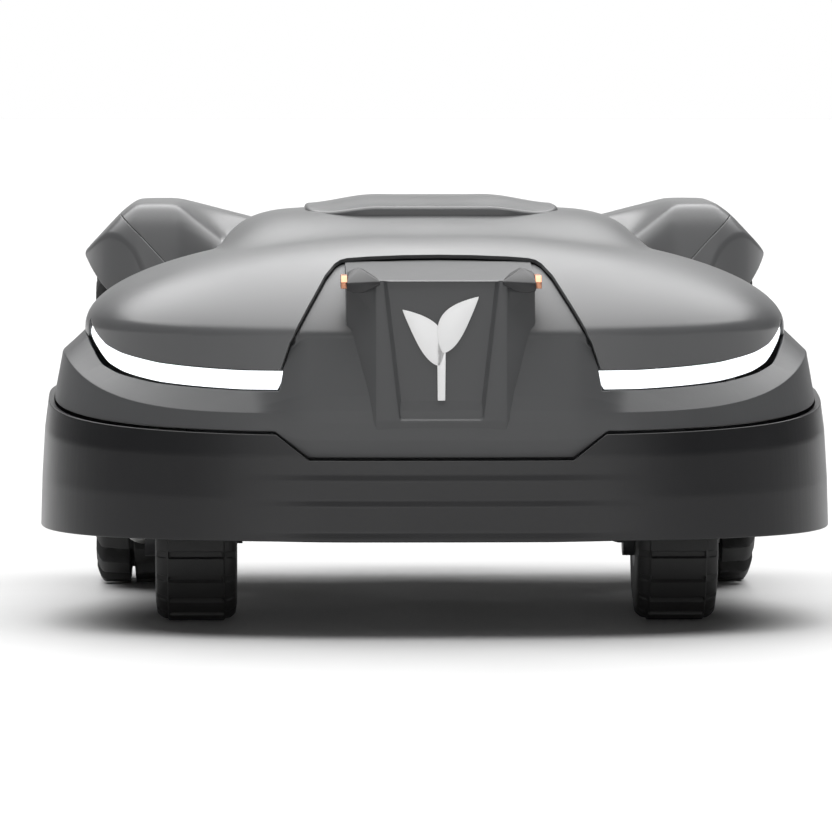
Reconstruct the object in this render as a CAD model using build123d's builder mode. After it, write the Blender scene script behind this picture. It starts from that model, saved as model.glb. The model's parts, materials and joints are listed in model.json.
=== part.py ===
"""Robotic lawn mower: a floating cover on a sealed chassis, two driven rear wheels, two front casters
and a height-adjustable blade disc.

Millimetres, +Z up. The nose points to -Y, +X is on the right of someone facing the nose. The origin lies
on the ground under the centre of the machine. Left and right are named as seen from the front, along +Y.
"""

from build123d import *

import math
import os

os.makedirs("parts", exist_ok=True)

# ---------------------------------------------------------------- driving dimensions
LENGTH = 700
WIDTH = 568
HALF_LENGTH = LENGTH / 2

WALL = 3.0  # moulded plastic wall
COVER_WALL = 4.0  # height of the cover's skin, measured straight down
BUMPER_WALL = 4.0
GAP = 1.2  # seam between two cover panels
RUNNING = 0.1  # radial clearance of a turning or sliding fit
PRESS = 0.02  # radial clearance of a tight fit
FAR = 400  # beyond the machine in every direction

# front and side walls: each level is a superellipse in plan, from the nose round to the side
CORNER_POWER = 3.0
WIDEST_Y = -120
BUMPER_BOTTOM = 69
BUMPER_A = WIDTH / 2
BUMPER_B = HALF_LENGTH + WIDEST_Y
SEAM_Z = 142  # bumper's top edge at the front
SEAM_RISE = 0.09  # and how fast it climbs towards the back
NOTCH_HALF = 92  # lower centre of that edge
NOTCH_SHOULDER = 104
NOTCH_Z = 124.5
COVER_A, COVER_B = 249, 210  # the top cover's front edge
CREASE_Z = 212
LAMP_HEIGHT = 13.5
SIDE_END_Y = 48

# nose
MUZZLE_TOP_HALF = 66
MUZZLE_LOW_HALF = 45
RECESS_DEPTH = 3.4
BADGE_WIDTH, BADGE_HEIGHT, BADGE_Z = 54, 74, 201
BLOCK_FRONT, BLOCK_BACK = -345, -300

# rear wheels
AXLE_Y = 190
WHEEL_R = 125
WHEEL_W = 55
WHEEL_OUT = 251
RIM_R = 100
RIM_WALL = 7
TREAD_FLOOR_R = 113
LUGS = 20
ARCH_R = WHEEL_R + 11
ARCH_IN = 188
SHAFT_R = 6

# casters
CASTER_X = 171.5
STEM_Y = -203
TRAIL = 28
CASTER_R = 60
CASTER_W = 58
CASTER_HUB_R = 22
ROD_R = 5
ROD_SIDE = 48.5  # the bent rod stands this far beside the wheel's middle
CROSS_Z = 134  # height at which the rod crosses over the wheel
STEM_TOP = 184
CASTER_WELL_R = 97
CASTER_WELL_TOP = 151

# cutting deck, at its highest setting
DECK_Y = -15
HOUSING_R = 45
DISC_R = 100
DISC_Z = 62
BLADES = 3
BLADE_PIVOT_R = 92
BLADE_OUT = 28  # blade tip beyond its pivot: cutting width 240
BLADE_PIN_R = 3
SKID_R = 78
SKID_Z = 52
SCREW_Y = 37
SCREW_R = 5
POST_X = 64
POST_R = 4

# sealed chassis
CHASSIS_FLOOR = 78
CHASSIS_TOP = 130
CHASSIS_WALL = 4
GASKET = 1.5
LID_LOW = CHASSIS_TOP + GASKET
LID_TOP = 160
LID_SKIN = 3
TOWER_Y = DECK_Y - 3
TOWER_TOP = 256
TUNNEL_TOP = 203  # roof of the tub's tunnel for the deck carriage

# hatch and stop button
HATCH_HALF = 90
HATCH_FRONT = -104
HATCH_BACK = 62
HATCH_HINGE_Z = 294
PIN_X, PIN_R = 66, 1.6
STOP_Y = 112
STOP_R = 30

# floating suspension
GUIDES = [(104, -140), (-104, -140), (104, 72), (-104, 72)]
SUSPENSION = [(110, -80), (-110, -80), (110, 20), (-110, 20)]
FRAME_Z, FRAME_THICK = 168, 4

# carry handle and control panel
HANDLE_Z, HANDLE_R, HANDLE_HALF = 106, 8, 56
PANEL_TOP = TOWER_TOP + 6
KEYS = [(-45, -12), (0, -12), (45, -12)]
KEY_R = 7
KNOB = (24, 28)
SWITCH = (-38, 28)


def keep(name, part):
    """Label a finished piece and write it as its own STEP."""
    solid = part if len(part.solids()) > 1 else part.solids()[0]
    solid.label = name
    export_step(solid, f"parts/{name}.step")


def mirrored(part):
    return mirror(part, about=Plane.YZ, mode=Mode.PRIVATE)


def biggest(part):
    return Part(max(part.solids(), key=lambda s: s.volume).wrapped)


# ---------------------------------------------------------------- steps inside a BuildPart block
def cut(*pieces):
    """Take pieces away from the part being built."""
    for piece in pieces:
        add(piece, mode=Mode.SUBTRACT)


def limit(piece):
    """Leave only what lies inside piece."""
    add(piece, mode=Mode.INTERSECT)


def box(x0, x1, y0, y1, z0, z1, mode=Mode.ADD):
    with Locations(((x0 + x1) / 2, (y0 + y1) / 2, (z0 + z1) / 2)):
        Box(x1 - x0, y1 - y0, z1 - z0, mode=mode)


def post(x, y, z0, z1, radius, mode=Mode.ADD):
    """Upright round bar."""
    with Locations((x, y, z0)):
        Cylinder(radius, z1 - z0, align=(Align.CENTER, Align.CENTER, Align.MIN), mode=mode)


def bar(x0, x1, y, z, radius, mode=Mode.ADD):
    """Round bar lying along X."""
    with BuildSketch(Plane.YZ.offset(x0)) as end:
        with Locations((y, z)):
            Circle(radius)
    extrude(end.sketch, amount=x1 - x0, mode=mode)


def slab(x, y, width, depth, z0, z1, radius, mode=Mode.ADD):
    """Upright block with rounded corners."""
    with BuildSketch(Plane.XY.offset(z0)) as plan:
        with Locations((x, y)):
            RectangleRounded(width, depth, radius)
    extrude(plan.sketch, amount=z1 - z0, mode=mode)


# ---------------------------------------------------------------- the cover's surface
def smooth_max(a, b, blend):
    overlap = max(blend - abs(a - b), 0)
    return max(a, b) + overlap * overlap / (4 * blend)


def soft_plus(t, radius):
    """Positive part of t, rounded over about radius."""
    return (math.sqrt(t * t + radius * radius) + t) / 2


def smooth_step(low, high, value):
    t = min(max((value - low) / (high - low), 0), 1)
    return t * t * (3 - 2 * t)


def lobe_height(u, y):
    """The two front wings over the casters, one ellipsoid-like swelling."""
    back = 165
    depth = (WIDEST_Y - y) / COVER_B if y < WIDEST_Y else (y - WIDEST_Y) / back
    radius = ((u / COVER_A) ** 3 + depth**3) ** (2 / 3)
    facing = math.atan2(max(WIDEST_Y - y, 0) / COVER_B, max(u, 1) / COVER_A)
    power = 0.52 + 0.33 * math.sin(facing) ** 2
    if radius >= 1:
        return CREASE_Z - 60 * (radius - 1)
    return CREASE_Z + 65 * (1 - radius) ** power


def spine_height(y):
    if y < -20:
        return 290 - 72 * (-(y + 20) / 210) ** 3
    return 290 - 105 * ((y + 20) / 365) ** 2.6


def dome_height(u, y):
    """The raised centre body that carries the hatch."""
    foot = 205
    half = 165 - 22 * max(0, (y - 120) / 230)
    if u >= half:
        return foot
    return foot + (spine_height(y) - foot) * math.sqrt(1 - (u / half) ** 8)


def haunch_height(u, y):
    """The fender over each rear wheel: a flat crown with bevelled sides and a steep front face."""
    outer = 0.74 * soft_plus(u - 219, 3) + 0.34 * soft_plus(u - 230, 4)
    inner = 0.26 * soft_plus(189 - u, 4) + 0.55 * soft_plus(189 - u, 3) * (1 - smooth_step(100, 175, y))
    front = 2.3 * soft_plus(98 - y, 7)
    back = 80 * (max(0, y - 232) / 100) ** 1.7
    return 292.4 - outer - inner - front - back


def cover_height(x, y):
    u = abs(x)
    height = smooth_max(lobe_height(u, y), dome_height(u, y), 14)
    height = smooth_max(height, haunch_height(u, y), 10)
    return max(height, 150)


SECTION_X = [0, 45, 85, 112, 128, 140, 150, 158, 165, 173, 184, 200, 218, 234, 247, 257, 275, 300]
SECTION_Y = [-370, -335, -305, -275, -240, -205, -170, -135, -100, -65, -30, 5, 36, 60, 80, 96, 114, 145]
SECTION_Y += [190, 230, 260, 290, 315, 335, 370]
SECTION_FLOOR = 60


def below_cover(drop):
    """Everything under the cover's surface lowered by drop."""
    edge = SECTION_X[-1]
    with BuildPart() as body:
        for y in SECTION_Y:
            right = [(x, cover_height(x, y) - drop) for x in SECTION_X]
            left = [(-x, z) for x, z in reversed(right[1:])]
            with BuildSketch(Plane.XZ.offset(-y)):
                with BuildLine():
                    Spline(*left, *right)
                    Polyline(right[-1], (edge, SECTION_FLOOR), (-edge, SECTION_FLOOR), left[0])
                make_face()
        loft()
    return body.part


# ---------------------------------------------------------------- outlines and the solids swept from them
def superellipse(a, b, count=7):
    """Quarter of a superellipse from the nose's centre to the widest point, as (u, y)."""
    points = []
    for i in range(count + 1):
        t = math.pi / 2 * i / count
        u = a * math.sin(t) ** (2 / CORNER_POWER)
        points.append((u, WIDEST_Y - b * math.cos(t) ** (2 / CORNER_POWER)))
    return points


def front_outline(a, b, back_y, back_a=None):
    """Face of the front half in plan: a superellipse round the nose, then straight to back_y."""
    back_a = back_a or a
    quarter = superellipse(a, b)
    left = [(-u, y) for u, y in reversed(quarter[1:])]
    with BuildSketch() as outline:
        with BuildLine():
            Spline(*left, *quarter, tangents=[(0, -1), (0, 1)])
            Polyline((a, WIDEST_Y), (back_a, back_y), (-back_a, back_y), (-a, WIDEST_Y))
        make_face()
    return outline.sketch


def upright(outline, z, height):
    """Prism that stands on an outline at the height z."""
    with BuildPart() as prism:
        with BuildSketch(Plane.XY.offset(z)):
            add(outline)
        extrude(amount=height)
    return prism.part


def wall_stack(levels, back_y):
    """Solid whose plan outline changes from level to level: levels holds (z, a, b, back_a)."""
    outlines = [(z, front_outline(a, b, back_y, back_a)) for z, a, b, back_a in levels]
    with BuildPart() as stack:
        for z, outline in outlines:
            with BuildSketch(Plane.XY.offset(z)):
                add(outline)
        loft(ruled=True)
    return stack.part


def hollow(levels, wall):
    """Levels of the space left inside a wall stack."""
    (z0, *low), *middle, (z1, *high) = levels
    grown = [(z0 - 1, *low), *middle, (z1 + 1, *high)]
    return [(z, a - wall, b - wall, back - wall) for z, a, b, back in grown]


def side_prism(points, half_width=320):
    """Closed profile in the YZ plane, swept across the machine."""
    with BuildPart() as prism:
        with BuildSketch(Plane.YZ):
            Polygon(*points, align=None)
        extrude(amount=half_width, both=True)
    return prism.part


def wedge(points, y0, y1):
    """Closed outline seen from the front, between the planes y0 and y1."""
    with BuildPart() as solid:
        with BuildSketch(Plane.XZ.offset(-y0)):
            Polygon(*points, align=None)
        extrude(amount=y0 - y1)
    return solid.part


def trapezoid(top, low, z_top, z_low):
    """Symmetrical wedge through the nose: half widths at its top and its foot."""
    return wedge([(-top, z_top), (top, z_top), (low, z_low), (-low, z_low)], -360, -200)


def seam_z(y):
    return SEAM_Z + SEAM_RISE * (y + 345)


def above_seam(lift):
    """Space over the bumper's top edge, with its lower centre."""
    back = 100
    half, shoulder = NOTCH_HALF - lift, NOTCH_SHOULDER - lift
    low, high = NOTCH_Z + lift, SEAM_Z + 5
    slope = side_prism([(-FAR, seam_z(-FAR) + lift), (back, seam_z(back) + lift), (back, FAR), (-FAR, FAR)])
    notch = wedge([(-shoulder, high), (-half, low), (half, low), (shoulder, high)], -420, -250)
    with BuildPart() as space:
        add(slope)
        add(notch)
    return space.part


# lower edge of the lamps, and the shoulder behind them, in the YZ plane
LAMP_LOW = [(-FAR, 171), (-320, 172.5), (-290, 176.5), (-262, 182), (-241, 187.5), (-217, 197)]
SHOULDER = [(-190, 211), (-60, 205), (0, 192), (60, 190)]


def lamp_line(lift):
    return [(y, z + lift) for y, z in LAMP_LOW]


# ---------------------------------------------------------------- cover skin
# plan of the top cover behind the wings: waist, fender and rear deck
COVER_SIDE = [
    (COVER_A, WIDEST_Y), (244, -78), (224, -32), (203, 8), (197, 44),
    (214, 78), (243, 106), (257, 148), (258, 195), (254, 250), (236, 296), (196, 326), (110, 342), (0, 347),
]
TAIL_Y = 300


def cover_outline(inset):
    quarter = superellipse(COVER_A - inset, COVER_B - inset)
    side = [(max(u - inset, 0), y - (inset if y > TAIL_Y else 0)) for u, y in COVER_SIDE]
    front = [(-u, y) for u, y in reversed(quarter[1:])] + quarter
    back = side[1:] + [(-u, y) for u, y in reversed(side[1:-1])]
    with BuildSketch() as outline:
        with BuildLine():
            Spline(*front, tangents=[(0, -1), (0, 1)])
            Spline(front[-1], *back, front[0], tangents=[(0, 1), (0, -1)])
        make_face()
    return outline.sketch


outer_body = below_cover(0)
inner_body = below_cover(COVER_WALL)
plan_block = upright(cover_outline(0), 165, 150)
plan_hollow = upright(cover_outline(WALL), 160, 160)

with BuildPart() as cover_hollow:
    add(plan_hollow)
    limit(inner_body)
with BuildPart() as cover_skin:
    add(plan_block)
    limit(outer_body)
    cut(cover_hollow.part)

# nose panel seen from the front: (half width, z) up its side, then its domed top edge
NOSE_SIDE = [(113, 168), (110, 187), (104, 205), (91.5, 227), (79.5, 247), (73, 255)]
NOSE_SHOULDER = (64, 258.7)
NOSE_EDGE = (50, 259.7)
NOSE_TOP = 260.9


def nose_prism(grow):
    """Space of the nose panel, wider and taller by grow."""
    right = [(u + grow, z) for u, z in NOSE_SIDE]
    left = [(-u, z) for u, z in reversed(right)]
    shoulder_x, shoulder_z = NOSE_SHOULDER[0] + grow, NOSE_SHOULDER[1] + grow / 2
    edge_x, edge_z = NOSE_EDGE[0], NOSE_EDGE[1] + grow
    with BuildPart() as prism:
        with BuildSketch(Plane.XZ.offset(420)):
            with BuildLine():
                Polyline(*right)
                ThreePointArc(right[-1], (shoulder_x, shoulder_z), (edge_x, edge_z))
                ThreePointArc((edge_x, edge_z), (0, NOSE_TOP + grow), (-edge_x, edge_z))
                ThreePointArc((-edge_x, edge_z), (-shoulder_x, shoulder_z), left[0])
                Polyline(*left)
                Line(left[-1], right[0])
            make_face()
        extrude(amount=-215)
    return prism.part


# slanting seam that parts each fender's outer panel from the cover, in the front view
FENDER_SEAM = [(186, 236), (236, 289)]
FENDER_FRONT, FENDER_BACK = 30, 330


def fender_half(shift):
    """Everything outside the fender seam moved outwards by shift, on the right side."""
    (u0, z0), (u1, z1) = FENDER_SEAM
    run = (u1 - u0) / (z1 - z0)
    low, high, out = 100, 330, 330
    seam = [(u0, low), (u0, z0), (u1, z1), (u1 + run * (high - z1), high)]
    return wedge([*[(u + shift, z) for u, z in seam], (out, high), (out, low)], FENDER_FRONT, FENDER_BACK)


# ---------------------------------------------------------------- top cover and fenders
# below the lamps' upper edge there is no top cover, and behind them it ends a little over the shoulder
cover_cut = side_prism([*lamp_line(LAMP_HEIGHT + GAP), *SHOULDER, (60, 100), (-FAR, 100)])
nose_opening = nose_prism(GAP)
boss_limit = below_cover(2)
fender_cut = fender_half(0)
fender_cut_left = mirrored(fender_cut)
fender_space = fender_half(GAP)
hatch_middle = (HATCH_FRONT + HATCH_BACK) / 2
hatch_depth = HATCH_BACK - HATCH_FRONT
hatch_rim = 8

with BuildPart() as arches:
    bar(ARCH_IN, ARCH_IN + 120, AXLE_Y, WHEEL_R, ARCH_R)
    mirror(about=Plane.YZ)

with BuildPart() as guide_bosses:
    for gx, gy in GUIDES:
        post(gx, gy, 196, 300, 2 * POST_R)
    limit(boss_limit)

with BuildPart() as top_cover:
    add(cover_skin.part)
    cut(nose_opening, cover_cut, arches.part, fender_cut, fender_cut_left)
    add(guide_bosses.part)
    for lug_x in (-PIN_X, PIN_X):
        box(lug_x - 3, lug_x + 3, HATCH_BACK - 4, HATCH_BACK + 4, HATCH_HINGE_Z - 7, HATCH_HINGE_Z + 4)
    for gx, gy in GUIDES:
        post(gx, gy, 190, 262, POST_R + RUNNING, mode=Mode.SUBTRACT)
    bar(-80, 80, HATCH_BACK, HATCH_HINGE_Z, PIN_R, mode=Mode.SUBTRACT)
    opening = (2 * (HATCH_HALF - hatch_rim), hatch_depth - 2 * hatch_rim)
    slab(0, hatch_middle, *opening, 200, 320, 14, mode=Mode.SUBTRACT)
    post(0, STOP_Y, 200, 320, STOP_R + 4, mode=Mode.SUBTRACT)
keep("top_cover", biggest(top_cover.part))

with BuildPart() as rear_fender:
    add(cover_skin.part)
    cut(arches.part)
    limit(fender_space)
fender = biggest(rear_fender.part)
keep("rear_fender_right", fender)
keep("rear_fender_left", mirrored(fender))

# ---------------------------------------------------------------- bumper
BUMPER_LEVELS = [
    (BUMPER_BOTTOM, BUMPER_A, BUMPER_B, 236), (100, 283, 229.5, 235),
    (135, 281, 228, 233), (190, 276, 222, 229),
]
bumper_outer = wall_stack(BUMPER_LEVELS, SIDE_END_Y)
bumper_inner = wall_stack(hollow(BUMPER_LEVELS, BUMPER_WALL), SIDE_END_Y + 5)
over_bumper = above_seam(-GAP)

with BuildPart() as bumper:
    add(bumper_outer)
    cut(bumper_inner, over_bumper)
keep("bumper", biggest(bumper.part))

# ---------------------------------------------------------------- front panel: nose, muzzle and side band
BAND_LEVELS = [(100, 280, 228, 234), (162, 273, 224, 227), (193, 266, 218, 220), (213, 249.6, 211, 201)]
NOSE_LEVELS = [(100, 280, 228, 234), (213, 249.6, 211, 201), (300, 240, 205, 200)]
NOSE_INNER = [(90, 277, 225, 230), (213, 246.6, 208, 198), (301, 237, 202, 197)]
LAMP_CLEARANCE = 0.6

band_outer = wall_stack(BAND_LEVELS, SIDE_END_Y)
band_inner = wall_stack(hollow(BAND_LEVELS, WALL), SIDE_END_Y + 5)
over_seam = above_seam(GAP)
band_top = [(y, z - LAMP_CLEARANCE) for y, z in [*LAMP_LOW, *SHOULDER]]
under_lamps = side_prism([*band_top, (60, 0), (-FAR, 0)])
nose_outer = wall_stack(NOSE_LEVELS, SIDE_END_Y)
nose_inner = wall_stack(NOSE_INNER, 60)
nose_space = nose_prism(0)

# the raised middle of the nose, its badge recess and the corners that hold the charging contacts
MUZZLE_FRONT = [(-343, 249), (-346.8, 165), (-346.5, 152), (-338, 130)]


def behind_muzzle(depth):
    """Space behind the muzzle's front plane moved back by depth."""
    front = [(y + depth, z) for y, z in MUZZLE_FRONT]
    return side_prism([(front[0][0], 262), *front, (-150, 130), (-150, 262)])


muzzle_profile = side_prism([(-238, 259), *MUZZLE_FRONT, (-318, 128), (-318, 238), (-238, 249)])
muzzle_sides = trapezoid(MUZZLE_TOP_HALF, MUZZLE_LOW_HALF, 262, 128)
recess_sides = trapezoid(38.5, 29, 246, 156)
recess_floor = behind_muzzle(RECESS_DEPTH)
badge_face = behind_muzzle(1.0)

# contact corner seen from the front: sloping roof, flat side, chamfered foot
BLOCK = [
    (65.5, 254), (65.5, 242), (61, 240.6), (54.5, 240.6),
    (42.5, 246.2), (42.5, 249), (56, 257.2), (60, 256),
]
contact_block = wedge(BLOCK, BLOCK_FRONT, BLOCK_BACK)
block_space = wedge(BLOCK, -352, BLOCK_BACK)

with BuildPart() as contact_pockets:
    add(block_space)
    box(42.5, 90, -352, BLOCK_BACK, 256, 270)
    box(65.5, 90, -352, BLOCK_BACK, 236, 270)
    mirror(about=Plane.YZ)

with BuildPart() as nose_hollow:
    add(nose_inner)
    limit(inner_body)

with BuildPart() as band:
    add(band_outer)
    cut(band_inner)
    limit(over_seam)
    limit(under_lamps)

with BuildPart() as muzzle:
    add(muzzle_profile)
    limit(muzzle_sides)

with BuildPart() as recess:
    add(recess_sides)
    cut(recess_floor)

with BuildPart() as front_panel:
    add(nose_outer)
    limit(nose_space)
    limit(outer_body)
    cut(nose_hollow.part)
    limit(over_seam)
    add(band.part)
    add(muzzle.part)
    cut(recess.part, contact_pockets.part)
keep("front_panel", biggest(front_panel.part))

with BuildPart() as contact_blocks:
    add(contact_block)
    mirror(about=Plane.YZ)
keep("contact_blocks", contact_blocks.part)

with BuildPart() as contact_plates:
    box(65.6, 69.6, -342, -306, 243.5, 252.5)
    mirror(about=Plane.YZ)
keep("contact_plates", contact_plates.part)

with BuildPart() as badge:
    with BuildSketch(Plane.XZ.offset(HALF_LENGTH)):
        with Locations((0, BADGE_Z)):
            RectangleRounded(BADGE_WIDTH, BADGE_HEIGHT, 20)
    extrude(amount=-24)
    limit(badge_face)
    cut(recess_floor)
keep("badge", biggest(badge.part))


# ---------------------------------------------------------------- lamps
def lamp_strip(depth0, depth1, low, high):
    """Strip under the wings between two depths from the cover's edge and two heights over LAMP_LOW."""
    face, back = COVER_A - depth0, COVER_A - depth1
    nose = COVER_B - COVER_A + 3
    outside = upright(front_outline(face, face + nose, SIDE_END_Y), 160, 60)
    inside = upright(front_outline(back, back + nose, SIDE_END_Y + 5), 160, 60)
    between = side_prism([*lamp_line(low), *reversed(lamp_line(high))])
    with BuildPart() as strip:
        add(outside)
        cut(inside)
        limit(between)
        cut(nose_opening)
    return strip.part


lens = lamp_strip(1, 8, 0.4, LAMP_HEIGHT)
right_lens = max(lens.solids(), key=lambda s: s.center().X)
left_lens = min(lens.solids(), key=lambda s: s.center().X)
keep("lamp_right", Part(right_lens.wrapped))
keep("lamp_left", Part(left_lens.wrapped))
keep("lamp_boards", lamp_strip(9, 11, 2, LAMP_HEIGHT - 2))

# ---------------------------------------------------------------- hatch
# each section holds (y, lip height, crown height)
HATCH_SECTIONS = [(HATCH_FRONT, 288.6, 293.5), (-62, 292, 299.5), (HATCH_BACK - 4, 292, 300)]
KNUCKLE_R, KNUCKLE_HALF = 3.4, 60

with BuildPart() as hatch:
    for y, lip, crown in HATCH_SECTIONS:
        right = [(HATCH_HALF, lip), (HATCH_HALF - 5, crown - 3), (49, crown)]
        with BuildSketch(Plane.XZ.offset(-y)):
            Polygon(*right, *[(-u, z) for u, z in reversed(right)], align=None)
    loft(ruled=True)
    bar(-KNUCKLE_HALF, KNUCKLE_HALF, HATCH_BACK, HATCH_HINGE_Z, KNUCKLE_R)
    box(-KNUCKLE_HALF, KNUCKLE_HALF, HATCH_BACK - 7, HATCH_BACK, 292, 296)
    bar(-80, 80, HATCH_BACK, HATCH_HINGE_Z, PIN_R + RUNNING, mode=Mode.SUBTRACT)
    slab(0, hatch_middle, 150, 130, 280, 294, 10, mode=Mode.SUBTRACT)
    for lug_x in (-PIN_X, PIN_X):
        box(lug_x - 3.6, lug_x + 3.6, HATCH_BACK - 12, HATCH_BACK + 5, 285, 302, mode=Mode.SUBTRACT)
keep("hatch", biggest(hatch.part))

with BuildPart() as hatch_pin:
    bar(-PIN_X - 3, PIN_X + 3, HATCH_BACK, HATCH_HINGE_Z, PIN_R)
keep("hatch_pin", hatch_pin.part)

# ---------------------------------------------------------------- stop button
PLUNGER_R = 8

with BuildPart() as stop_cup:
    post(0, STOP_Y, 262, 291, STOP_R + WALL)
    post(0, STOP_Y, 268, 300, STOP_R + 0.6, mode=Mode.SUBTRACT)
    post(0, STOP_Y, 255, 270, PLUNGER_R + RUNNING, mode=Mode.SUBTRACT)
keep("stop_cup", stop_cup.part)

with BuildPart() as stop_button:
    post(0, STOP_Y, 276, 295, STOP_R)
    post(0, STOP_Y, 261, 277, PLUNGER_R)
keep("stop_button", stop_button.part)

# ---------------------------------------------------------------- chassis tub, gasket and lid
# half plan of the chassis, from the nose round to the tail
HALF_PLAN = [
    (0, -308), (118, -306), (200, -278), (236, -226), (236, -92),
    (205, 20), (184, 54), (184, 300), (0, 300),
]
WELLS = [(CASTER_X, STEM_Y), (-CASTER_X, STEM_Y)]
SIDE_HALF = 200


def chassis_block(inset, z0, z1):
    with BuildPart() as block:
        with BuildSketch(Plane.XY.offset(z0)):
            Polygon(*HALF_PLAN, *[(-u, y) for u, y in reversed(HALF_PLAN[1:-1])], align=None)
            offset(amount=-inset, kind=Kind.INTERSECTION)
        extrude(amount=z1 - z0)
    return block.part


tub_block = chassis_block(0, CHASSIS_FLOOR, CHASSIS_TOP)
tub_hollow = chassis_block(CHASSIS_WALL, CHASSIS_FLOOR + CHASSIS_WALL, CHASSIS_TOP + 1)
front_limit = upright(front_outline(256, 206, 60), 60, 150)

with BuildPart() as tub_limit:
    add(front_limit)
    box(-SIDE_HALF, SIDE_HALF, 50, 320, 60, 200)

with BuildPart() as chassis_tub:
    add(tub_block)
    cut(tub_hollow)
    for wx, wy in WELLS:
        post(wx, wy, CHASSIS_FLOOR, CASTER_WELL_TOP + WALL, CASTER_WELL_R + WALL)
        post(wx, wy, CASTER_WELL_TOP, STEM_TOP, 13)
    limit(tub_limit.part)
    slab(0, DECK_Y, 156, 136, CHASSIS_FLOOR, TUNNEL_TOP, 8)
    slab(0, DECK_Y, 150, 130, CHASSIS_FLOOR + WALL, TUNNEL_TOP - WALL, 6, mode=Mode.SUBTRACT)
    post(0, DECK_Y, 70, 90, HOUSING_R + 3, mode=Mode.SUBTRACT)
    for wx, wy in WELLS:
        post(wx, wy, 60, CASTER_WELL_TOP, CASTER_WELL_R, mode=Mode.SUBTRACT)
        post(wx, wy, 140, 200, ROD_R + RUNNING, mode=Mode.SUBTRACT)
    post(0, SCREW_Y, 195, 210, SCREW_R + RUNNING, mode=Mode.SUBTRACT)
    bar(-SIDE_HALF, SIDE_HALF, AXLE_Y, WHEEL_R, SHAFT_R + 2, mode=Mode.SUBTRACT)
    with Locations((0, 245, CHASSIS_FLOOR + 2)):
        with GridLocations(120, 50, 2, 2):
            Cylinder(2.6, 20, mode=Mode.SUBTRACT)
keep("chassis_tub", biggest(chassis_tub.part))

with BuildPart() as well_spaces:
    for wx, wy in WELLS:
        post(wx, wy, 60, CASTER_WELL_TOP + 4, CASTER_WELL_R + 4)
        post(wx, wy, 60, 200, 14)
    bar(-SIDE_HALF, SIDE_HALF, AXLE_Y, WHEEL_R, SHAFT_R + 3)

gasket_block = chassis_block(0, CHASSIS_TOP, LID_LOW)
gasket_hollow = chassis_block(CHASSIS_WALL, 120, 140)
with BuildPart() as lid_gasket:
    add(gasket_block)
    cut(gasket_hollow, well_spaces.part)
keep("lid_gasket", lid_gasket.part)

lid_block = chassis_block(0, LID_LOW, LID_TOP)
lid_hollow = chassis_block(CHASSIS_WALL, LID_LOW - 1, LID_TOP - LID_SKIN)
with BuildPart() as chassis_lid:
    add(lid_block)
    cut(lid_hollow)
    slab(0, TOWER_Y, 172, 176, LID_TOP - LID_SKIN, TOWER_TOP, 12)
    slab(0, TOWER_Y, 166, 170, LID_TOP - LID_SKIN - 1, TOWER_TOP - LID_SKIN, 9, mode=Mode.SUBTRACT)
    cut(well_spaces.part)
keep("chassis_lid", biggest(chassis_lid.part))

# ---------------------------------------------------------------- suspension between chassis and cover
FRAME_TOP = FRAME_Z + FRAME_THICK
NECK_GAP = 0.3

with BuildPart() as carrier_frame:
    slab(0, -34, 256, 262, FRAME_Z, FRAME_TOP, 12)
    slab(0, TOWER_Y, 184, 196, 160, 180, 10, mode=Mode.SUBTRACT)
    for sx, sy in SUSPENSION:
        post(sx, sy, 160, 180, 12, mode=Mode.SUBTRACT)
    for gx, gy in GUIDES:
        post(gx, gy, FRAME_TOP - 2, 248, POST_R)
keep("carrier_frame", biggest(carrier_frame.part))

with BuildPart() as suspension_posts:
    for sx, sy in SUSPENSION:
        post(sx, sy, LID_TOP, 164, 8)
        post(sx, sy, 164, FRAME_Z - NECK_GAP, 15)
        post(sx, sy, FRAME_Z - NECK_GAP, FRAME_TOP + NECK_GAP, 5)
        post(sx, sy, FRAME_TOP + NECK_GAP, 175, 15)
keep("suspension_posts", suspension_posts.part)

# ---------------------------------------------------------------- things inside and on the chassis
BOARD_Z, BOARD_THICK = 92, 1.6
CHIPS = [(-35, -240, 26, 8), (20, -250, 34, 5), (30, -190, 20, 18), (-30, -185, 30, 10)]

with BuildPart() as battery_pack:
    slab(0, 108, 110, 84, CHASSIS_FLOOR + CHASSIS_WALL, 127, 6)
keep("battery_pack", battery_pack.part)

with BuildPart() as main_board:
    box(-58, 58, -275, -150, BOARD_Z, BOARD_Z + BOARD_THICK)
    for cx, cy, size, height in CHIPS:
        low = BOARD_Z + BOARD_THICK
        box(cx - size / 2, cx + size / 2, cy - size / 2, cy + size / 2, low, low + height)
keep("main_board", main_board.part)

with BuildPart() as loop_sensor_board:
    box(-50, 50, -300, -300 + BOARD_THICK, 84, 112)
keep("loop_sensor_board", loop_sensor_board.part)

with BuildPart() as gearmotor:
    bar(98, 155, AXLE_Y, WHEEL_R, 25)
    bar(155, 179.5, AXLE_Y, WHEEL_R, 22)
    bar(158, 190, AXLE_Y, WHEEL_R, SHAFT_R + RUNNING, mode=Mode.SUBTRACT)
keep("gearmotor_right", gearmotor.part)
keep("gearmotor_left", mirrored(gearmotor.part))

with BuildPart() as height_motor:
    post(0, SCREW_Y, TUNNEL_TOP + 0.2, 243, 15)
    post(0, SCREW_Y, 200, 226, SCREW_R + RUNNING, mode=Mode.SUBTRACT)
keep("height_motor", height_motor.part)

with BuildPart() as height_screw:
    post(0, SCREW_Y, 88, 222, SCREW_R)
keep("height_screw", height_screw.part)

with BuildPart() as deck_guide_posts:
    for px in (-POST_X, POST_X):
        post(px, DECK_Y, CHASSIS_FLOOR + WALL, TUNNEL_TOP - WALL, POST_R)
keep("deck_guide_posts", deck_guide_posts.part)

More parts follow.
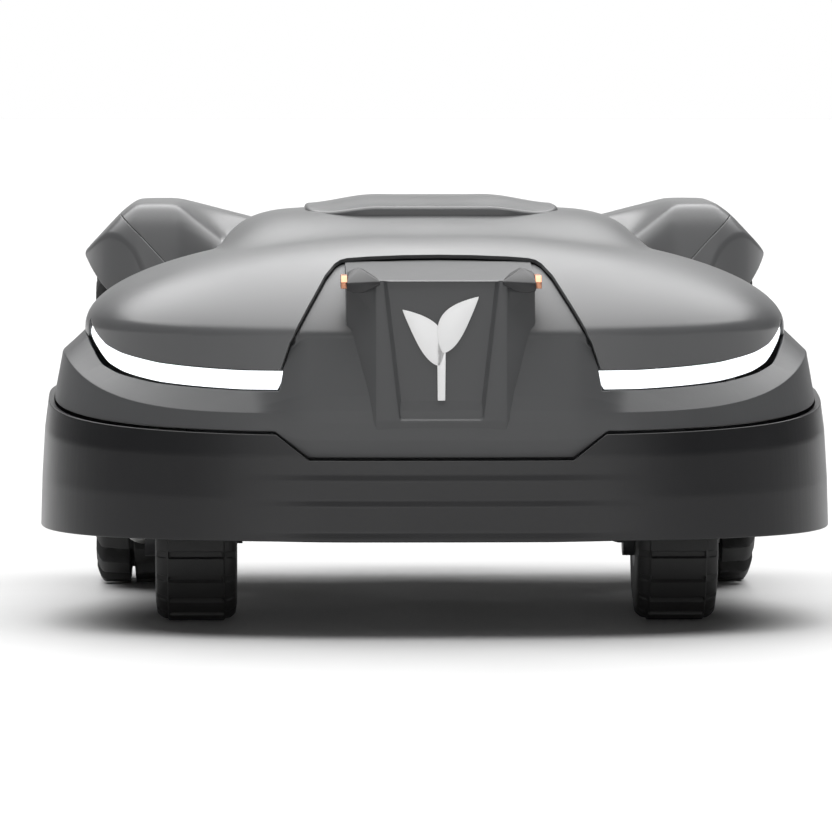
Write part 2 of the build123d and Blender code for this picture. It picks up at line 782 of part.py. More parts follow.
HANDLE_Y = HALF_LENGTH - HANDLE_R
HANDLE_ROOT = 300
with BuildPart() as carry_handle:
    with BuildLine() as grip_line:
        FilletPolyline(
            (-HANDLE_HALF, HANDLE_ROOT, HANDLE_Z), (-HANDLE_HALF, HANDLE_Y, HANDLE_Z),
            (HANDLE_HALF, HANDLE_Y, HANDLE_Z), (HANDLE_HALF, HANDLE_ROOT, HANDLE_Z),
            radius=14,
        )
    with BuildSketch(Plane((-HANDLE_HALF, HANDLE_ROOT, HANDLE_Z), x_dir=(1, 0, 0), z_dir=(0, 1, 0))):
        Circle(HANDLE_R)
    sweep()
keep("carry_handle", carry_handle.part)

# ---------------------------------------------------------------- control panel on the tower, under the hatch
POCKET_FLOOR = TOWER_TOP + 1.2
DISPLAY_Y = -58
SWITCH_X, SWITCH_Y = SWITCH

with BuildPart() as control_panel:
    slab(0, TOWER_Y, 150, 150, TOWER_TOP, PANEL_TOP, 8)
    for kx, ky in KEYS:
        post(kx, ky, POCKET_FLOOR, 270, KEY_R + 0.3, mode=Mode.SUBTRACT)
    post(*KNOB, TOWER_TOP + 1, 270, 4 + RUNNING, mode=Mode.SUBTRACT)
    box(
        SWITCH_X - 7.5, SWITCH_X + 7.5, SWITCH_Y - 13, SWITCH_Y + 13, POCKET_FLOOR, 270,
        mode=Mode.SUBTRACT,
    )
    slab(0, DISPLAY_Y, 92, 42, PANEL_TOP - 2, 270, 4, mode=Mode.SUBTRACT)
keep("control_panel", control_panel.part)

with BuildPart() as display_window:
    slab(0, DISPLAY_Y, 91.6, 41.6, PANEL_TOP - 2, PANEL_TOP - 0.4, 3.8)
keep("display_window", display_window.part)

for index, (kx, ky) in enumerate(KEYS, 1):
    with BuildPart() as key:
        post(kx, ky, TOWER_TOP + 3, PANEL_TOP + 3, KEY_R)
    keep(f"key_{index}", key.part)

with BuildPart() as jog_knob:
    post(*KNOB, PANEL_TOP + 0.4, 276, 18)
    post(*KNOB, TOWER_TOP + 2, PANEL_TOP + 1, 4)
keep("jog_knob", jog_knob.part)

with BuildPart() as power_switch:
    box(SWITCH_X - 6.8, SWITCH_X + 6.8, SWITCH_Y - 11, SWITCH_Y + 11, 259.4, 263.4)
keep("power_switch", power_switch.part)

# ---------------------------------------------------------------- rear wheels
WHEEL_IN = WHEEL_OUT - WHEEL_W
LUG_ROW = 26  # width of one row of tread blocks
GROOVE = 3  # between the two rows


def lug_ring(x0, x1, turn):
    """One row of tread blocks, added to the part being built."""
    with BuildSketch(Plane.YZ.offset(x0)) as ring:
        with Locations((AXLE_Y, WHEEL_R)):
            Circle(TREAD_FLOOR_R)
            with PolarLocations(118.5, LUGS, start_angle=turn - 90):
                Rectangle(13, 17)
            Circle(WHEEL_R, mode=Mode.INTERSECT)
    extrude(ring.sketch, amount=x1 - x0)


with BuildPart() as wheel_tyre:
    lug_ring(WHEEL_IN, WHEEL_IN + LUG_ROW, 180 / LUGS)
    bar(WHEEL_IN + LUG_ROW, WHEEL_IN + LUG_ROW + GROOVE, AXLE_Y, WHEEL_R, TREAD_FLOOR_R)
    lug_ring(WHEEL_IN + LUG_ROW + GROOVE, WHEEL_OUT, 0)
    bar(WHEEL_IN - 1, WHEEL_OUT + 1, AXLE_Y, WHEEL_R, RIM_R, mode=Mode.SUBTRACT)

with BuildPart() as wheel_rim:
    bar(199, 246, AXLE_Y, WHEEL_R, RIM_R)
    bar(216, 247, AXLE_Y, WHEEL_R, RIM_R - RIM_WALL, mode=Mode.SUBTRACT)
    bar(198, 208, AXLE_Y, WHEEL_R, RIM_R - RIM_WALL, mode=Mode.SUBTRACT)
    bar(199, 240, AXLE_Y, WHEEL_R, 20)
    bar(190, 250, AXLE_Y, WHEEL_R, SHAFT_R + PRESS, mode=Mode.SUBTRACT)

with BuildPart() as wheel_hubcap:
    bar(240, 246, AXLE_Y, WHEEL_R, 46)

with BuildPart() as wheel_shaft:
    bar(160, 240, AXLE_Y, WHEEL_R, SHAFT_R)

for name, piece in (
    ("wheel_tyre", wheel_tyre), ("wheel_rim", wheel_rim),
    ("wheel_hubcap", wheel_hubcap), ("wheel_shaft", wheel_shaft),
):
    keep(f"{name}_right", piece.part)
    keep(f"{name}_left", mirrored(piece.part))

# ---------------------------------------------------------------- casters
# both bent rods run down the left side of their wheels
AXLE_BACK = STEM_Y + TRAIL
CASTER_BAND = 19.75  # half width of the grooved band round the tyre
CASTER_GROOVES = 20


def caster_fork(cx):
    side = cx - ROD_SIDE
    stem_end = (cx, STEM_Y, STEM_TOP + 6)
    with BuildPart() as rod:
        with BuildLine():
            FilletPolyline(
                stem_end, (cx, STEM_Y, CROSS_Z), (side, AXLE_BACK, CROSS_Z),
                (side, AXLE_BACK, CASTER_R), (cx + CASTER_W / 2 + 4, AXLE_BACK, CASTER_R), radius=10.5,
            )
        with BuildSketch(Plane(stem_end, x_dir=(1, 0, 0), z_dir=(0, 0, -1))):
            Circle(ROD_R)
        sweep()
        post(cx, STEM_Y, CASTER_WELL_TOP - 4, CASTER_WELL_TOP - NECK_GAP, 9)
        post(cx, STEM_Y, STEM_TOP + NECK_GAP, STEM_TOP + 3, 9)
    return rod.part


def caster_rim(cx):
    with BuildPart() as hub:
        bar(cx - CASTER_W / 2, cx + CASTER_W / 2, AXLE_BACK, CASTER_R, CASTER_HUB_R)
        bar(cx - 37, cx, AXLE_BACK, CASTER_R, 14)
        bar(cx - 40, cx + 40, AXLE_BACK, CASTER_R, ROD_R + RUNNING, mode=Mode.SUBTRACT)
    return hub.part


def caster_tyre(cx):
    half, band = CASTER_W / 2, CASTER_BAND
    profile = [(-half, CASTER_HUB_R), (-half, 48), (-26, 54), (-band, 58.8), (-band, CASTER_R)]
    profile += [(-x, r) for x, r in reversed(profile)]
    with BuildPart() as tyre:
        with BuildSketch(Plane.XY):
            Polygon(*profile, align=None)
        revolve(axis=Axis.X)
        with BuildSketch(Plane.YZ.offset(-band)):
            with PolarLocations(CASTER_R - 0.5, CASTER_GROOVES, start_angle=-81):
                Rectangle(6, 5)
        extrude(amount=2 * band, mode=Mode.SUBTRACT)
    return tyre.part.moved(Location((cx, AXLE_BACK, CASTER_R)))


for side, hand in ((-1, "left"), (1, "right")):
    keep(f"caster_fork_{hand}", caster_fork(side * CASTER_X))
    keep(f"caster_rim_{hand}", caster_rim(side * CASTER_X))
    keep(f"caster_tyre_{hand}", caster_tyre(side * CASTER_X))

# ---------------------------------------------------------------- cutting deck at its highest setting
CARRIAGE_LOW, CARRIAGE_TOP = 166, 172
BLADE_WIDTH, BLADE_THICK = 17, 1

with BuildPart() as deck_carriage:
    slab(0, DECK_Y, 144, 124, CARRIAGE_LOW, CARRIAGE_TOP, 5)
    post(0, DECK_Y, 76, 168, HOUSING_R)
    post(0, DECK_Y, 80, 180, HOUSING_R - WALL, mode=Mode.SUBTRACT)
    post(0, DECK_Y, 70, 90, SHAFT_R + RUNNING, mode=Mode.SUBTRACT)
    post(0, SCREW_Y, 160, 180, SCREW_R + RUNNING, mode=Mode.SUBTRACT)
    for px in (-POST_X, POST_X):
        post(px, DECK_Y, 160, 180, POST_R + RUNNING, mode=Mode.SUBTRACT)
keep("deck_carriage", biggest(deck_carriage.part))

with BuildPart() as cutting_motor:
    post(0, DECK_Y, 80, 150, 38)
    post(0, DECK_Y, 70, 110, SHAFT_R + RUNNING, mode=Mode.SUBTRACT)
keep("cutting_motor", cutting_motor.part)

with BuildPart() as disc_shaft:
    post(0, DECK_Y, 51.7, 108, SHAFT_R)
    post(0, DECK_Y, 48.5, 51.7, 9)
keep("disc_shaft", disc_shaft.part)

blade_angles = [math.radians(90 + 360 / BLADES * index) for index in range(BLADES)]
pivots = [
    (BLADE_PIVOT_R * math.cos(angle), DECK_Y + BLADE_PIVOT_R * math.sin(angle)) for angle in blade_angles
]

with BuildPart() as blade_disc:
    post(0, DECK_Y, DISC_Z, DISC_Z + 3, DISC_R)
    post(0, DECK_Y, 57.2, 73, 10)
    post(0, DECK_Y, 50, 80, SHAFT_R + PRESS, mode=Mode.SUBTRACT)
    for px, py in pivots:
        post(px, py, 50, 80, BLADE_PIN_R + PRESS, mode=Mode.SUBTRACT)
keep("blade_disc", blade_disc.part)

with BuildPart() as blade_screws:
    for px, py in pivots:
        post(px, py, 58, 66.5, BLADE_PIN_R)
        post(px, py, 57, 59.6, 2 * BLADE_PIN_R)
keep("blade_screws", blade_screws.part)

for index, (angle, (px, py)) in enumerate(zip(blade_angles, pivots), 1):
    with BuildPart() as blade:
        with BuildSketch(Plane((px, py, 60.3), x_dir=(math.cos(angle), math.sin(angle), 0))):
            with Locations((BLADE_OUT / 2 - 4, 0)):
                RectangleRounded(BLADE_OUT + 8, BLADE_WIDTH, 1)
            Circle(BLADE_PIN_R + RUNNING, mode=Mode.SUBTRACT)
        extrude(amount=BLADE_THICK)
    keep(f"blade_{index}", blade.part)

with BuildPart() as skid_plate:
    post(0, DECK_Y, SKID_Z, SKID_Z + 2, SKID_R)
    post(0, DECK_Y, SKID_Z, 57, 12)
    post(0, DECK_Y, 40, 60, SHAFT_R + RUNNING, mode=Mode.SUBTRACT)
keep("skid_plate", skid_plate.part)
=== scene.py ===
import json
import math

import bmesh
import bpy
import numpy as np
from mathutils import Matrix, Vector


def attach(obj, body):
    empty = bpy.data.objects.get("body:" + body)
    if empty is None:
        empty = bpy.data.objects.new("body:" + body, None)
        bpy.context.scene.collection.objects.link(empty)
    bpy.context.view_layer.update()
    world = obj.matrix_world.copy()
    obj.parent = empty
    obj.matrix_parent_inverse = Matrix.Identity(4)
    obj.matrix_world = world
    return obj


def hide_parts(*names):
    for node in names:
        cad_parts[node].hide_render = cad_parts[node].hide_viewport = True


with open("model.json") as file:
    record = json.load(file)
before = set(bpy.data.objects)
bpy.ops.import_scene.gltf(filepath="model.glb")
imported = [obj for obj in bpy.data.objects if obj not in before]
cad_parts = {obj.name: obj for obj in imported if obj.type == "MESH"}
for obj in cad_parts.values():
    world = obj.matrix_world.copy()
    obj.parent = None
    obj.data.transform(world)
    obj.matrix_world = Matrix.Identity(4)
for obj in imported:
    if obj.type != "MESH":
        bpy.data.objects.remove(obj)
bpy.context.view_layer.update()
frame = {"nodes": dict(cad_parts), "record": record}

MM = 0.001

# ---------------------------------------------------------------- the cover's surface, in mm
WIDEST_Y = -120
COVER_A, COVER_B = 249.0, 210.0
CREASE_Z = 212.0
AXLE_Y, WHEEL_R = 190.0, 125.0
ARCH_R, ARCH_IN = 136.0, 188.0
ROLL = 0.8  # a panel is cut back by this much, and its rolled rim takes it up again
LOBE_RISE, LOBE_BACK = 65, 165
SPINE_TOP, SPINE_Y = 290, -20
DOME_FOOT, DOME_HALF, DOME_SHOULDER = 205, 165, 0.928
HAUNCH_TOP = 292.4
COVER_SIDE = [
    (249, -120), (244, -78), (224, -32), (203, 8), (197, 44), (214, 78), (243, 106), (257, 148),
    (258, 195), (254, 250), (236, 296), (196, 326), (110, 342), (0, 347),
]


def smooth_max(a, b, blend):
    """The larger of a and b, rounded where they meet over about blend."""
    over = np.maximum(blend - np.abs(a - b), 0)
    return np.maximum(a, b) + over * over / (4 * blend)


def smooth_step(low, high, value):
    t = np.clip((value - low) / (high - low), 0, 1)
    return t * t * (3 - 2 * t)


def lobe_height(u, y):
    """The flat oval body that the nose, the lamps and the waist belong to."""
    depth = np.where(y < WIDEST_Y, (WIDEST_Y - y) / COVER_B, (y - WIDEST_Y) / LOBE_BACK)
    radius = ((u / COVER_A) ** 3 + depth**3) ** (2 / 3)
    facing = np.arctan2(np.maximum(WIDEST_Y - y, 0) / COVER_B, np.maximum(u, 1) / COVER_A)
    power = 0.52 + 0.33 * np.sin(facing) ** 2 + 0.65 * smooth_step(-95, 0, y)
    inside = CREASE_Z + LOBE_RISE * np.maximum(1 - radius, 0) ** power
    return np.where(radius >= 1, CREASE_Z - 60 * (radius - 1), inside)


def spine_height(y):
    """Height along the middle, highest at SPINE_Y and falling away both ways."""
    front = SPINE_TOP - 72 * (np.maximum(SPINE_Y - y, 0) / 210) ** 3
    back = SPINE_TOP - 105 * (np.maximum(y - SPINE_Y, 0) / 365) ** 2.6
    return np.where(y < SPINE_Y, front, back)


def dome_height(u, y):
    """The raised centre body; past its shoulder the side runs out in a steepening slope."""
    half = DOME_HALF - 22 * np.maximum(0, (y - 120) / 230)
    shoulder = DOME_SHOULDER * half
    past = np.maximum(u - shoulder, 0)
    crown = np.sqrt(np.maximum(1 - (np.minimum(u, shoulder) / half) ** 8, 0))
    rise = np.maximum(crown - 0.0215 * past - 0.0006 * past**2, 0)
    return DOME_FOOT + (spine_height(y) - DOME_FOOT) * rise


def soft_plus(t, radius):
    """Positive part of t, rounded over about radius."""
    return (np.sqrt(t * t + radius * radius) + t) / 2


def haunch_height(u, y):
    """The fender over each rear wheel: a flat crown with bevelled sides and a steep front face."""
    outer = 0.74 * soft_plus(u - 219, 3) + 0.34 * soft_plus(u - 230, 4)
    inner = 0.26 * soft_plus(189 - u, 4) + 0.55 * soft_plus(189 - u, 3) * (1 - smooth_step(100, 175, y))
    front = 2.3 * soft_plus(98 - y, 7)
    back = 80 * (np.maximum(0, y - 232) / 100) ** 1.7
    return HAUNCH_TOP - outer - inner - front - back


def cover_height(x, y):
    """Height of the cover's top at (x, y): lobe, dome and haunches blended."""
    u = np.abs(x)
    height = smooth_max(lobe_height(u, y), dome_height(u, y), 14)
    height = smooth_max(height, haunch_height(u, y), 10)
    return np.maximum(height, 150)


LAMP_Y = np.array([-400, -320, -290, -262, -241, -217, -190, -150, -60, 0, 60, 400.0])
LAMP_Z = np.array([171, 172.5, 176.5, 182, 187.5, 197, 205, 209, 205, 192, 190, 190.0])
LAMP_HEIGHT = 13.5
LAMP_END_Y = -196.4
SEAM_GAP = 1.2
STOP_Y = 112


def nose_front_y(u, half):
    """Front of a nose of the given half width, u mm from the middle."""
    return WIDEST_Y - COVER_B * np.maximum(1 - (u / half) ** 3, 0) ** (1 / 3)


def lamp_low(y):
    """Height of the lamps' lower edge, which the band's shoulder runs up to."""
    return np.interp(y, LAMP_Y, LAMP_Z)


def seam_z(y):
    """Height of the seam between the lower band and the bumper."""
    return 142 + 0.09 * (y + 345)


# ---------------------------------------------------------------- mesh toolkit
def catmull(points, per=40):
    """Smooth curve through points, ends clamped."""
    p = np.array(points, float)
    p = np.vstack([2 * p[0] - p[1], p, 2 * p[-1] - p[-2]])
    out = []
    t = np.linspace(0, 1, per, endpoint=False)[:, None]
    for a, b, c, d in zip(p, p[1:], p[2:], p[3:]):
        square = 2 * a - 5 * b + 4 * c - d
        cube = 3 * b - a - 3 * c + d
        out.append(0.5 * (2 * b + (c - a) * t + square * t**2 + cube * t**3))
    return np.vstack([*out, p[-2:-1]])


class Curve:
    """Polyline read by its share of arc length."""

    def __init__(self, points):
        self.p = np.array(points, float)
        step = np.linalg.norm(np.diff(self.p, axis=0), axis=1)
        self.s = np.concatenate([[0], np.cumsum(step)])
        self.length = self.s[-1]
        self.s /= self.length

    def __call__(self, t):
        return np.stack([np.interp(t, self.s, self.p[:, k]) for k in range(self.p.shape[1])], -1)


def grid(us, vs, closed=False):
    """Parameter grid as (points, triangles)."""
    nu, nv = len(us), len(vs)
    params = np.stack(np.meshgrid(us, vs, indexing="ij"), -1).reshape(-1, 2)
    i = np.arange(nu if closed else nu - 1)[:, None]
    j = np.arange(nv - 1)[None, :]
    a, b = i * nv + j, ((i + 1) % nu) * nv + j
    a, b = a.ravel(), b.ravel()
    flip = (i + j).ravel() % 2 == 0
    first = np.where(flip[:, None], np.stack([a, b, b + 1], 1), np.stack([a, b, a + 1], 1))
    second = np.where(flip[:, None], np.stack([a, b + 1, a + 1], 1), np.stack([b, b + 1, a + 1], 1))
    return params, np.vstack([first, second])


def trim(params, tris, surface, keep):
    """Cuts the surface along keep = 0 and drops what lies on its negative side."""
    value = keep(surface(params))
    inside = value > 0
    count = inside[tris].sum(1)
    crossing = tris[(count > 0) & (count < 3)]
    whole = tris[count == 3]
    if not len(crossing):
        return compact(params, whole)
    turned = []
    for n in (1, 2):
        part = crossing[inside[crossing].sum(1) == n]
        lone = inside[part] if n == 1 else ~inside[part]
        first = lone.argmax(1)
        rows = np.arange(len(part))
        turned.append(np.stack([part[rows, (first + k) % 3] for k in range(3)], 1))
    edges = np.vstack([part[:, [0, k]] for part in turned for k in (1, 2)])
    ordered = np.sort(edges, 1)
    unique, index = np.unique(ordered, axis=0, return_inverse=True)
    index = index.ravel()
    a, b = unique[:, 0].copy(), unique[:, 1].copy()
    swap = ~inside[a]
    a[swap], b[swap] = b[swap], a[swap].copy()
    low, high = params[a], params[b]
    for _ in range(14):
        middle = (low + high) / 2
        good = keep(surface(middle)) > 0
        low = np.where(good[:, None], middle, low)
        high = np.where(good[:, None], high, middle)
    new = index + len(params)
    n1, n2 = len(turned[0]), len(turned[1])
    e1, e2, e3, e4 = new[:n1], new[n1 : 2 * n1], new[2 * n1 : 2 * n1 + n2], new[2 * n1 + n2 :]
    ones = np.stack([turned[0][:, 0], e1, e2], 1)
    two = turned[1]
    twos = np.vstack([np.stack([e3, two[:, 1], two[:, 2]], 1), np.stack([e3, two[:, 2], e4], 1)])
    return compact(np.vstack([params, low]), np.vstack([whole, ones, twos]))


def compact(params, tris):
    """Drops the points that no triangle uses."""
    used, index = np.unique(tris, return_inverse=True)
    return params[used], index.reshape(tris.shape)


NORMAL_STEP = 2e-4


def normals_of(params, surface):
    """Unit normals of a parametric surface, by central differences."""
    du, dv = np.array([NORMAL_STEP, 0]), np.array([0, NORMAL_STEP])
    a = surface(params + du) - surface(params - du)
    b = surface(params + dv) - surface(params - dv)
    n = np.cross(a, b)
    return n / np.maximum(np.linalg.norm(n, axis=1, keepdims=True), 1e-9)


def loops_of(tris):
    """Boundary loops, each running the way its triangles do."""
    e = np.vstack([tris[:, [0, 1]], tris[:, [1, 2]], tris[:, [2, 0]]])
    key = np.sort(e, 1)
    _, inverse, counts = np.unique(key, axis=0, return_inverse=True, return_counts=True)
    border = e[counts[inverse.ravel()] == 1]
    after = {int(a): int(b) for a, b in border}
    loops = []
    while after:
        start = next(iter(after))
        loop = [start]
        step = after.pop(start)
        while step != start and step in after:
            loop.append(step)
            step = after.pop(step)
        loops.append(np.array(loop))
    return loops


SLIT = 0.1


def shell(name, surface, params, tris, wall=3.0, roll=ROLL, flip=False):
    """Closed panel: outer surface, rolled rim and inner surface wall mm behind it.

    A boundary loop narrower than about SLIT mm is where the surface closes on itself, and gets no rim."""
    v = surface(params)
    n = normals_of(params, surface)
    if flip:
        n = -n
        tris = tris[:, ::-1]
    inner_at = len(v)
    verts, normals = [v, v - n * wall], [n, -n]
    faces = [tris, tris[:, ::-1] + inner_at]
    total = 2 * inner_at
    for loop in loops_of(tris):
        p = v[loop]
        step = np.linalg.norm(np.roll(p, -1, 0) - p, axis=1)
        if np.linalg.svd(p - p.mean(0), compute_uv=False)[1] < SLIT * math.sqrt(len(p)):
            continue
        s = np.concatenate([[0], np.cumsum(step)])
        wrapped = np.vstack([p, p[:1]])
        reach = min(2.0, s[-1] / 12)
        ahead, behind = (along_loop(s, wrapped, s[:-1] + way * reach) for way in (1, -1))
        tangent = ahead - behind
        out = np.cross(tangent, n[loop])
        out /= np.maximum(np.linalg.norm(out, axis=1, keepdims=True), 1e-9)
        previous = loop
        for angle in (35, 65, 90):
            c, q = math.cos(math.radians(angle)), math.sin(math.radians(angle))
            verts.append(p + out * roll * q - n[loop] * roll * (1 - c))
            normals.append(n[loop] * c + out * q)
            ring = np.arange(total, total + len(loop))
            faces.append(quads(previous, ring))
            previous = ring
            total += len(loop)
        verts.append(p + out * roll - n[loop] * wall)
        normals.append(out)
        ring = np.arange(total, total + len(loop))
        total += len(loop)
        faces.append(quads(previous, ring))
        faces.append(quads(ring, loop + inner_at))
    return build(name, np.vstack(verts), np.vstack(faces), np.vstack(normals))


def along_loop(s, wrapped, places):
    """Points of a closed loop at the given lengths along it."""
    return np.stack([np.interp(places % s[-1], s, wrapped[:, k]) for k in range(3)], -1)


def sheet_tris(n, m):
    """Triangles of an open sheet of n rows by m columns."""
    i, j = np.meshgrid(np.arange(n - 1), np.arange(m - 1), indexing="ij")
    a = (i * m + j).ravel()
    return np.vstack([np.stack([a, a + 1, a + m + 1], 1), np.stack([a, a + m + 1, a + m], 1)])


def ring_tris(steps, n):
    """Triangles of a tube of steps columns round by n points along."""
    i, j = np.meshgrid(np.arange(steps), np.arange(n - 1), indexing="ij")
    a, b = (i * n + j).ravel(), (((i + 1) % steps) * n + j).ravel()
    return np.vstack([np.stack([a, b, b + 1], 1), np.stack([a, b + 1, a + 1], 1)])


def quads(a, b):
    """Triangles between two closed rings of equal length."""
    an, bn = np.roll(a, -1), np.roll(b, -1)
    return np.vstack([np.stack([a, b, an], 1), np.stack([an, b, bn], 1)])


def build(name, verts, tris, normals=None):
    """Mesh object from points in mm and triangles."""
    mesh = bpy.data.meshes.new(name)
    mesh.vertices.add(len(verts))
    mesh.vertices.foreach_set("co", (np.asarray(verts, float) * MM).ravel())
    mesh.loops.add(3 * len(tris))
    mesh.loops.foreach_set("vertex_index", np.asarray(tris, np.int32).ravel())
    mesh.polygons.add(len(tris))
    mesh.polygons.foreach_set("loop_start", np.arange(0, 3 * len(tris), 3, dtype=np.int32))
    mesh.polygons.foreach_set("use_smooth", np.ones(len(tris), bool))
    mesh.update(calc_edges=True)
    mesh.validate()
    if normals is not None and len(mesh.vertices) == len(normals):
        mesh.normals_split_custom_set_from_vertices([tuple(row) for row in normals])
    obj = bpy.data.objects.new(name, mesh)
    bpy.context.scene.collection.objects.link(obj)
    return obj


def polygon_distance(points, x, z):
    """Signed distance to a closed polygon, positive outside."""
    p = np.array(points, float)
    q = np.roll(p, -1, 0)
    best = np.full(np.shape(x), 1e9)
    sign = np.ones(np.shape(x))
    for (ax, az), (bx, bz) in zip(p, q):
        ex, ez = bx - ax, bz - az
        wx, wz = x - ax, z - az
        t = np.clip((wx * ex + wz * ez) / (ex * ex + ez * ez), 0, 1)
        best = np.minimum(best, (wx - ex * t) ** 2 + (wz - ez * t) ** 2)
        above, below, left = z >= az, z < bz, ex * wz > ez * wx
        sign = np.where((above & below & left) | (~above & ~below & ~left), -sign, sign)
    return np.sqrt(best) * sign


def rounded_rect(x, y, cx, cy, half_x, half_y, radius):
    """Signed distance to a rectangle with rounded corners, positive outside."""
    dx = np.abs(x - cx) - half_x + radius
    dy = np.abs(y - cy) - half_y + radius
    return np.hypot(np.maximum(dx, 0), np.maximum(dy, 0)) + np.minimum(np.maximum(dx, dy), 0) - radius


# ---------------------------------------------------------------- materials
IOR = 1.5
MOTTLE_SCALE, MOTTLE_DETAIL = 9, 6
MOTTLE_LOW, MOTTLE_HIGH = 0.3, 0.7
GRAIN_DETAIL = 3
GRAIN_DEPTH = 0.0004  # metres


def material(name, base, rough, bump=0.0, scale=300.0, metal=0.0, rough_spread=0.05, tint=0.04):
    """Procedural finish: fine grain in the bump, slow mottling in roughness and colour."""
    mat = bpy.data.materials.new(name)
    mat.use_nodes = True
    nodes, links = mat.node_tree.nodes, mat.node_tree.links
    shader = nodes["Principled BSDF"]
    shader.inputs["Metallic"].default_value = metal
    shader.inputs["IOR"].default_value = IOR
    where = nodes.new("ShaderNodeTexCoord")
    slow = nodes.new("ShaderNodeTexNoise")
    slow.inputs["Scale"].default_value = MOTTLE_SCALE
    slow.inputs["Detail"].default_value = MOTTLE_DETAIL
    links.new(where.outputs["Object"], slow.inputs["Vector"])
    rough_map = nodes.new("ShaderNodeMapRange")
    rough_map.inputs["From Min"].default_value = MOTTLE_LOW
    rough_map.inputs["From Max"].default_value = MOTTLE_HIGH
    rough_map.inputs["To Min"].default_value = max(rough - rough_spread, 0.02)
    rough_map.inputs["To Max"].default_value = rough + rough_spread
    links.new(slow.outputs["Fac"], rough_map.inputs["Value"])
    links.new(rough_map.outputs["Result"], shader.inputs["Roughness"])
    ramp = nodes.new("ShaderNodeValToRGB")
    ramp.color_ramp.elements[0].position = MOTTLE_LOW
    ramp.color_ramp.elements[1].position = MOTTLE_HIGH
    ramp.color_ramp.elements[0].color = (*[c * (1 - tint) for c in base], 1)
    ramp.color_ramp.elements[1].color = (*[min(c * (1 + tint), 1) for c in base], 1)
    fine = nodes.new("ShaderNodeTexNoise")
    fine.inputs["Scale"].default_value = scale
    fine.inputs["Detail"].default_value = GRAIN_DETAIL
    links.new(where.outputs["Object"], fine.inputs["Vector"])
    links.new(slow.outputs["Fac"], ramp.inputs["Fac"])
    links.new(ramp.outputs["Color"], shader.inputs["Base Color"])
    if bump:
        relief = nodes.new("ShaderNodeBump")
        relief.inputs["Strength"].default_value = bump
        relief.inputs["Distance"].default_value = GRAIN_DEPTH
        links.new(fine.outputs["Fac"], relief.inputs["Height"])
        links.new(relief.outputs["Normal"], shader.inputs["Normal"])
    return mat


MATS = {
    "cover_grey": material("cover_paint", (0.090, 0.091, 0.093), 0.33, bump=0.04, scale=900),
    "panel_grey": material("panel_grain", (0.062, 0.063, 0.065), 0.44, bump=0.12, scale=1100),
    "black_plastic": material("black_grain", (0.016, 0.016, 0.017), 0.5, bump=0.15, scale=1200),
    "bumper_rubber": material("bumper_skirt", (0.009, 0.009, 0.010), 0.34, bump=0.10, scale=1000),
    "inner_plastic": material("inner_mould", (0.035, 0.035, 0.037), 0.55, bump=0.2, scale=700),
    "contact_copper": material("contact_copper", (0.55, 0.26, 0.16), 0.36, metal=1.0, bump=0.1, scale=500),
    "steel": material("drawn_steel", (0.60, 0.60, 0.59), 0.28, metal=1.0, bump=0.1, scale=400),
    "tyre_rubber": material("tyre_rubber", (0.022, 0.022, 0.022), 0.62, bump=0.35, scale=700, tint=0.15),
    "wheel_plastic": material("wheel_mould", (0.040, 0.040, 0.042), 0.45, bump=0.15, scale=800),
    "soft_rubber": material("soft_rubber", (0.03, 0.03, 0.03), 0.7, bump=0.2, scale=500),
    "motor_metal": material("cast_metal", (0.45, 0.46, 0.47), 0.45, metal=1.0, bump=0.5, scale=350),
    "board_green": material("board_laminate", (0.03, 0.16, 0.07), 0.4, bump=0.2, scale=260, tint=0.3),
    "screen": material("screen_glass", (0.012, 0.015, 0.017), 0.08, rough_spread=0.02),
    "stop_red": material("stop_red", (0.50, 0.012, 0.010), 0.3, bump=0.03),
    "disc_mould": material("disc_mould", (0.05, 0.05, 0.052), 0.5, bump=0.1),
    "badge_black": material("badge_gloss", (0.016, 0.016, 0.017), 0.25),
    "lamp_white": material("lamp_lens", (0.92, 0.94, 0.96), 0.15, tint=0.01),
    "emblem_white": material("emblem_white", (0.86, 0.86, 0.86), 0.3, tint=0.01),
}
lens = MATS["lamp_white"].node_tree.nodes["Principled BSDF"].inputs
lens["Emission Color"].default_value = (0.93, 0.97, 1, 1)
lens["Emission Strength"].default_value = 1.3
BODY_OF = {n: b for b, ns in frame["record"]["behaviour"]["bodies"].items() for n in ns}
SLOT_OF = {s["node"]: s["material_slot"] for s in frame["record"]["subparts"]}


def finish(obj, node, mat=None, stands=True):
    """Hooks a visual piece to the CAD node it stands for."""
    slot = SLOT_OF[node]
    obj.data.materials.clear()
    obj.data.materials.append(MATS[mat or slot])
    if stands:
        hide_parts(node)
    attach(obj, BODY_OF[node])
    return obj


# ---------------------------------------------------------------- outlines
def nose_arc(a, b, steps=400):
    """Superellipse from the widest point on -X round the nose to the widest point on +X."""
    th = np.linspace(-math.pi / 2, math.pi / 2, steps)
    s, c = np.sin(th), np.cos(th)
    r = (np.abs(s) ** 3 + np.abs(c) ** 3) ** (-1 / 3)
    return np.stack([a * r * s, WIDEST_Y - b * r * c], -1)


side = catmull(COVER_SIDE)
right_side = side[1:]
outline = np.vstack([nose_arc(COVER_A, COVER_B), right_side, (right_side * [-1, 1])[::-1][1:]])
OUTLINE = Curve(np.vstack([outline, outline[:1]]))
WALL_SHARE = 0.16
WALL_FOOT = 100
CREASE_R = 2.5
INWARD_POWER = 1.6


def cover_top(c, inward):
    """Point on the cover's top, a share inward of the way from outline point c to the hatch."""
    target = np.stack([np.zeros(len(c)), np.clip(c[:, 1] * 0.35, -60, 20)], -1)
    p = c + (target - c) * inward[:, None]
    distance = np.linalg.norm(target - c, axis=1) * inward
    dip = CREASE_R - np.sqrt(np.maximum(CREASE_R**2 - np.maximum(CREASE_R - distance, 0) ** 2, 0))
    return np.stack([p[:, 0], p[:, 1], cover_height(p[:, 0], p[:, 1]) - dip], -1)


